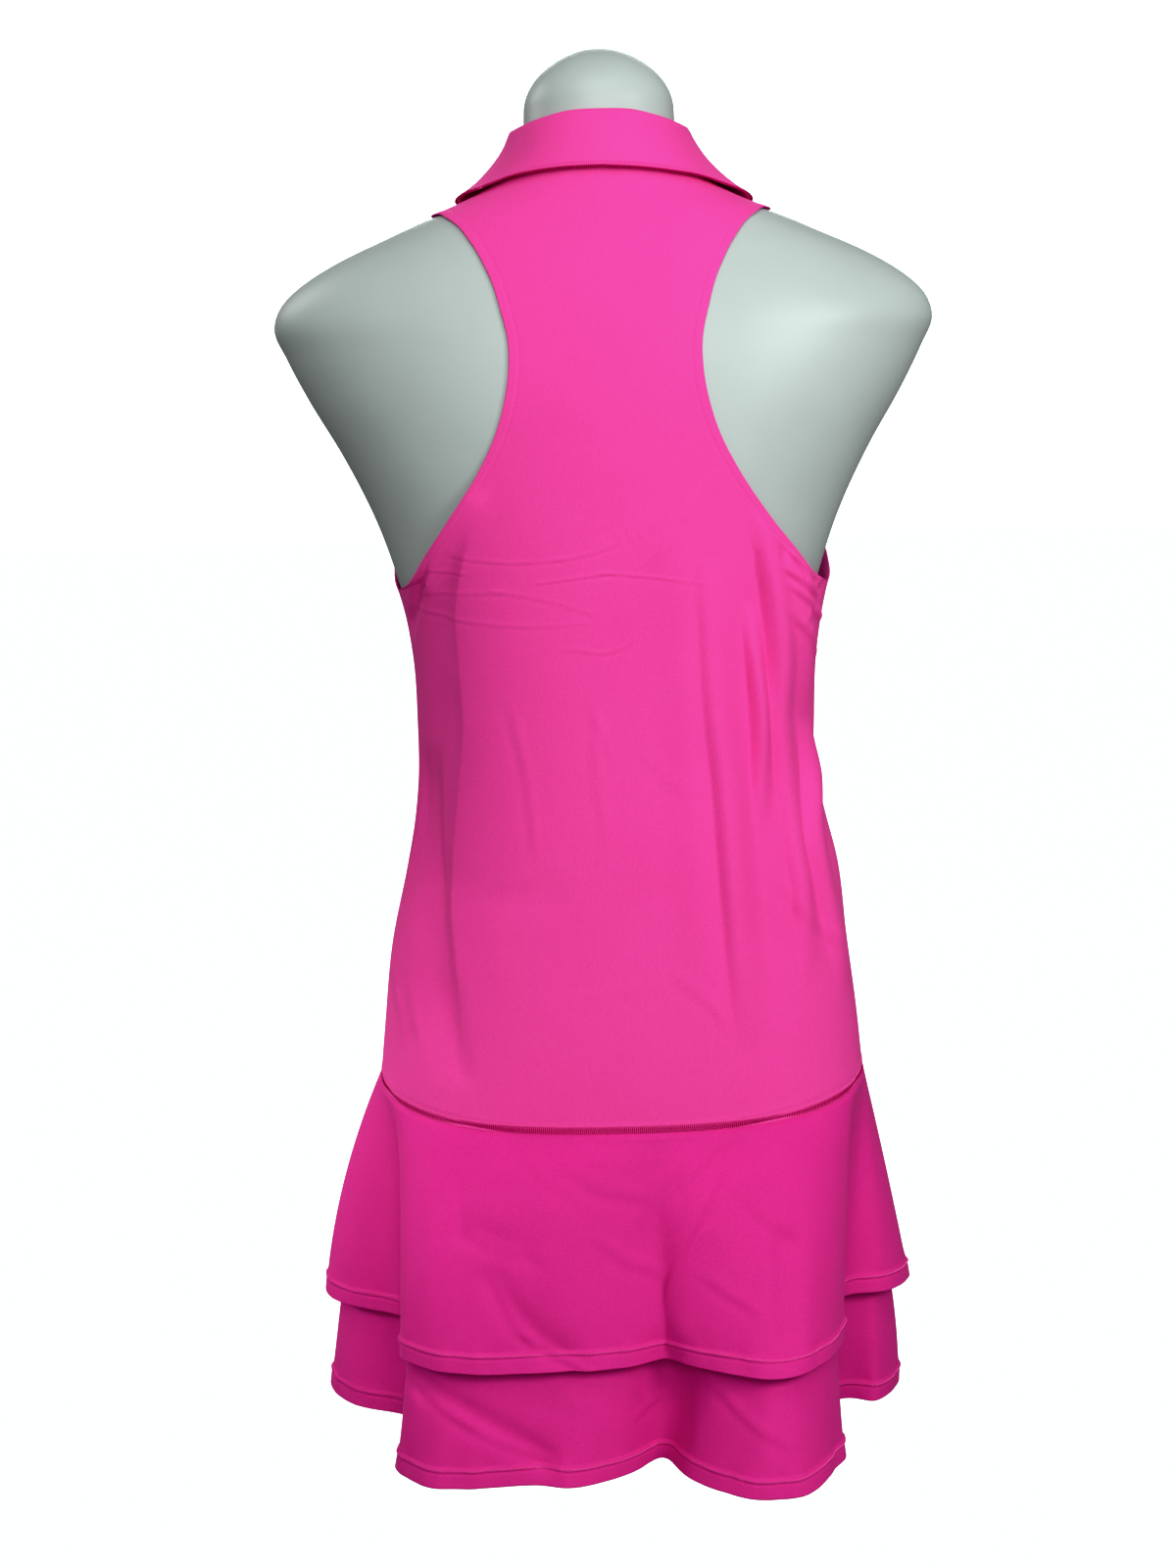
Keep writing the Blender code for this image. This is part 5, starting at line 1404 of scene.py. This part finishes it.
# The picture's response: contrast as a power, a soft shoulder that holds back red, the strongest channel,
# and a toe that deepens green in the darkest pinks.
CONTRAST = 1.25
SHOULDER = ((0.0, 0.0), (0.30, 0.30), (0.60, 0.60), (0.845, 0.82), (1.02, 0.919), (1.27, 0.944), (1.60, 0.97))
TOE = ((0.0, 0.0), (0.020, 0.006), (0.045, 0.036), (0.10, 0.10), (1.0, 1.0), (1.2, 1.0))
STRAIGHT = ((0.0, 0.0), (0.5, 0.5), (1.0, 1.0), (1.2, 1.0))
WHITE_POINT = 2.0


def set_response(view):
    """Sets the picture's tone response: a curve for each channel, whose level WHITE_POINT is white, and
    then the contrast."""
    view.view_transform = "Standard"
    view.gamma = 1.0 / CONTRAST
    view.use_curve_mapping = True
    mapping = view.curve_mapping
    mapping.white_level = (WHITE_POINT,) * 3
    for curve, knots in zip(mapping.curves, (SHOULDER, TOE, STRAIGHT)):
        places = [(level / WHITE_POINT, value) for level, value in knots] + [(1.0, 1.0)]
        while len(curve.points) < len(places):
            curve.points.new(0.5, 0.5)
        for point, (x, y) in zip(curve.points, places):
            point.location = (x, y)
            point.handle_type = "VECTOR"
    mapping.update()


class DRESS_OT_stage(bpy.types.Operator):
    """Build the floor, the lights and the camera"""
    bl_idname = "dress.stage"
    bl_label = "Stage"

    def execute(self, context):
        _, _, _, stage = settings()
        scene = context.scene
        remove_lights_and_cameras()
        remove_named("studio_floor")
        mesh = bpy.data.meshes.new("studio_floor")
        mesh.from_pydata([(-30, -30, 0), (30, -30, 0), (30, 30, 0), (-30, 30, 0)], [], [(0, 1, 2, 3)])
        mesh.materials.append(floor_material("white studio paper", tuple(stage.floor)))
        floor = bpy.data.objects.new("studio_floor", mesh)
        scene.collection.objects.link(floor)
        for name, (turn, rise, distance, size, power, spread, aim) in LIGHTS.items():
            data = bpy.data.lights.new(name, "AREA")
            data.shape = "SQUARE"
            data.size, data.energy, data.spread = size, power, np.radians(spread)
            lamp = bpy.data.objects.new(name, data)
            turn, rise = np.radians(turn), np.radians(rise)
            away = Vector((np.cos(rise) * np.sin(turn), -np.cos(rise) * np.cos(turn), np.sin(rise)))
            lamp.location = Vector(aim) + away * distance
            lamp.rotation_euler = (-away).to_track_quat("-Z", "Y").to_euler()
            scene.collection.objects.link(lamp)
        world = bpy.data.worlds.get("studio") or bpy.data.worlds.new("studio")
        world.use_nodes = True
        tree = world.node_tree
        tree.nodes.clear()
        ray = node(tree, "LightPath")
        seen = node(tree, "Background", {"Color": (1, 1, 1, 1), "Strength": WHITE_POINT})
        sky = node(tree, "Background", {"Color": (*linear("FAFCFF"), 1), "Strength": SKY_LIGHT})
        mixed = node(tree, "MixShader", i0=ray.outputs["Is Camera Ray"], i1=sky.outputs["Background"],
                     i2=seen.outputs["Background"])
        node(tree, "OutputWorld", Surface=mixed.outputs["Shader"])
        scene.world = world
        set_response(scene.view_settings)
        data = bpy.data.cameras.new("camera")
        data.sensor_fit = "VERTICAL"
        data.sensor_height = 36.0
        data.lens = stage.focal / 1600.0 * data.sensor_height
        camera = bpy.data.objects.new("camera", data)
        camera.matrix_world = (Matrix.Translation(stage.eye)
                               @ Matrix.Rotation(np.radians(90.0 + stage.pitch), 4, "X")
                               @ Matrix.Rotation(-np.radians(stage.roll), 4, "Z"))
        scene.collection.objects.link(camera)
        scene.camera = camera
        return {"FINISHED"}


OPERATORS = (DRESS_OT_form, DRESS_OT_bodice, DRESS_OT_collar, DRESS_OT_skirt, DRESS_OT_sewing, DRESS_OT_stage)
GROUPS = {"dress_cloth": DRESS_PG_cloth, "dress_thread": DRESS_PG_thread, "dress_form": DRESS_PG_form,
          "dress_stage": DRESS_PG_stage}


class DRESS_PT_panel(bpy.types.Panel):
    """The dress's settings and the buttons that build it"""
    bl_label = "Dress"
    bl_idname = "DRESS_PT_panel"
    bl_space_type = "VIEW_3D"
    bl_region_type = "UI"
    bl_category = "Dress"

    def draw(self, context):
        for name, group in GROUPS.items():
            box = self.layout.box()
            for setting in group.__annotations__:
                box.prop(getattr(context.scene, name), setting)
        for operator in OPERATORS:
            self.layout.operator(operator.bl_idname)


def register():
    for kind in (*GROUPS.values(), *OPERATORS, DRESS_PT_panel):
        bpy.utils.register_class(kind)
    for name, group in GROUPS.items():
        setattr(bpy.types.Scene, name, bpy.props.PointerProperty(type=group))


def unregister():
    for name in GROUPS:
        delattr(bpy.types.Scene, name)
    for kind in (DRESS_PT_panel, *reversed(OPERATORS), *reversed(GROUPS.values())):
        bpy.utils.unregister_class(kind)


def main():
    register()
    bpy.ops.dress.stage()
    bpy.ops.dress.form()
    bpy.ops.dress.bodice()
    bpy.ops.dress.collar()
    bpy.ops.dress.skirt()
    bpy.ops.dress.sewing()
    bpy.context.view_layer.update()


if __name__ == "__main__":
    main()
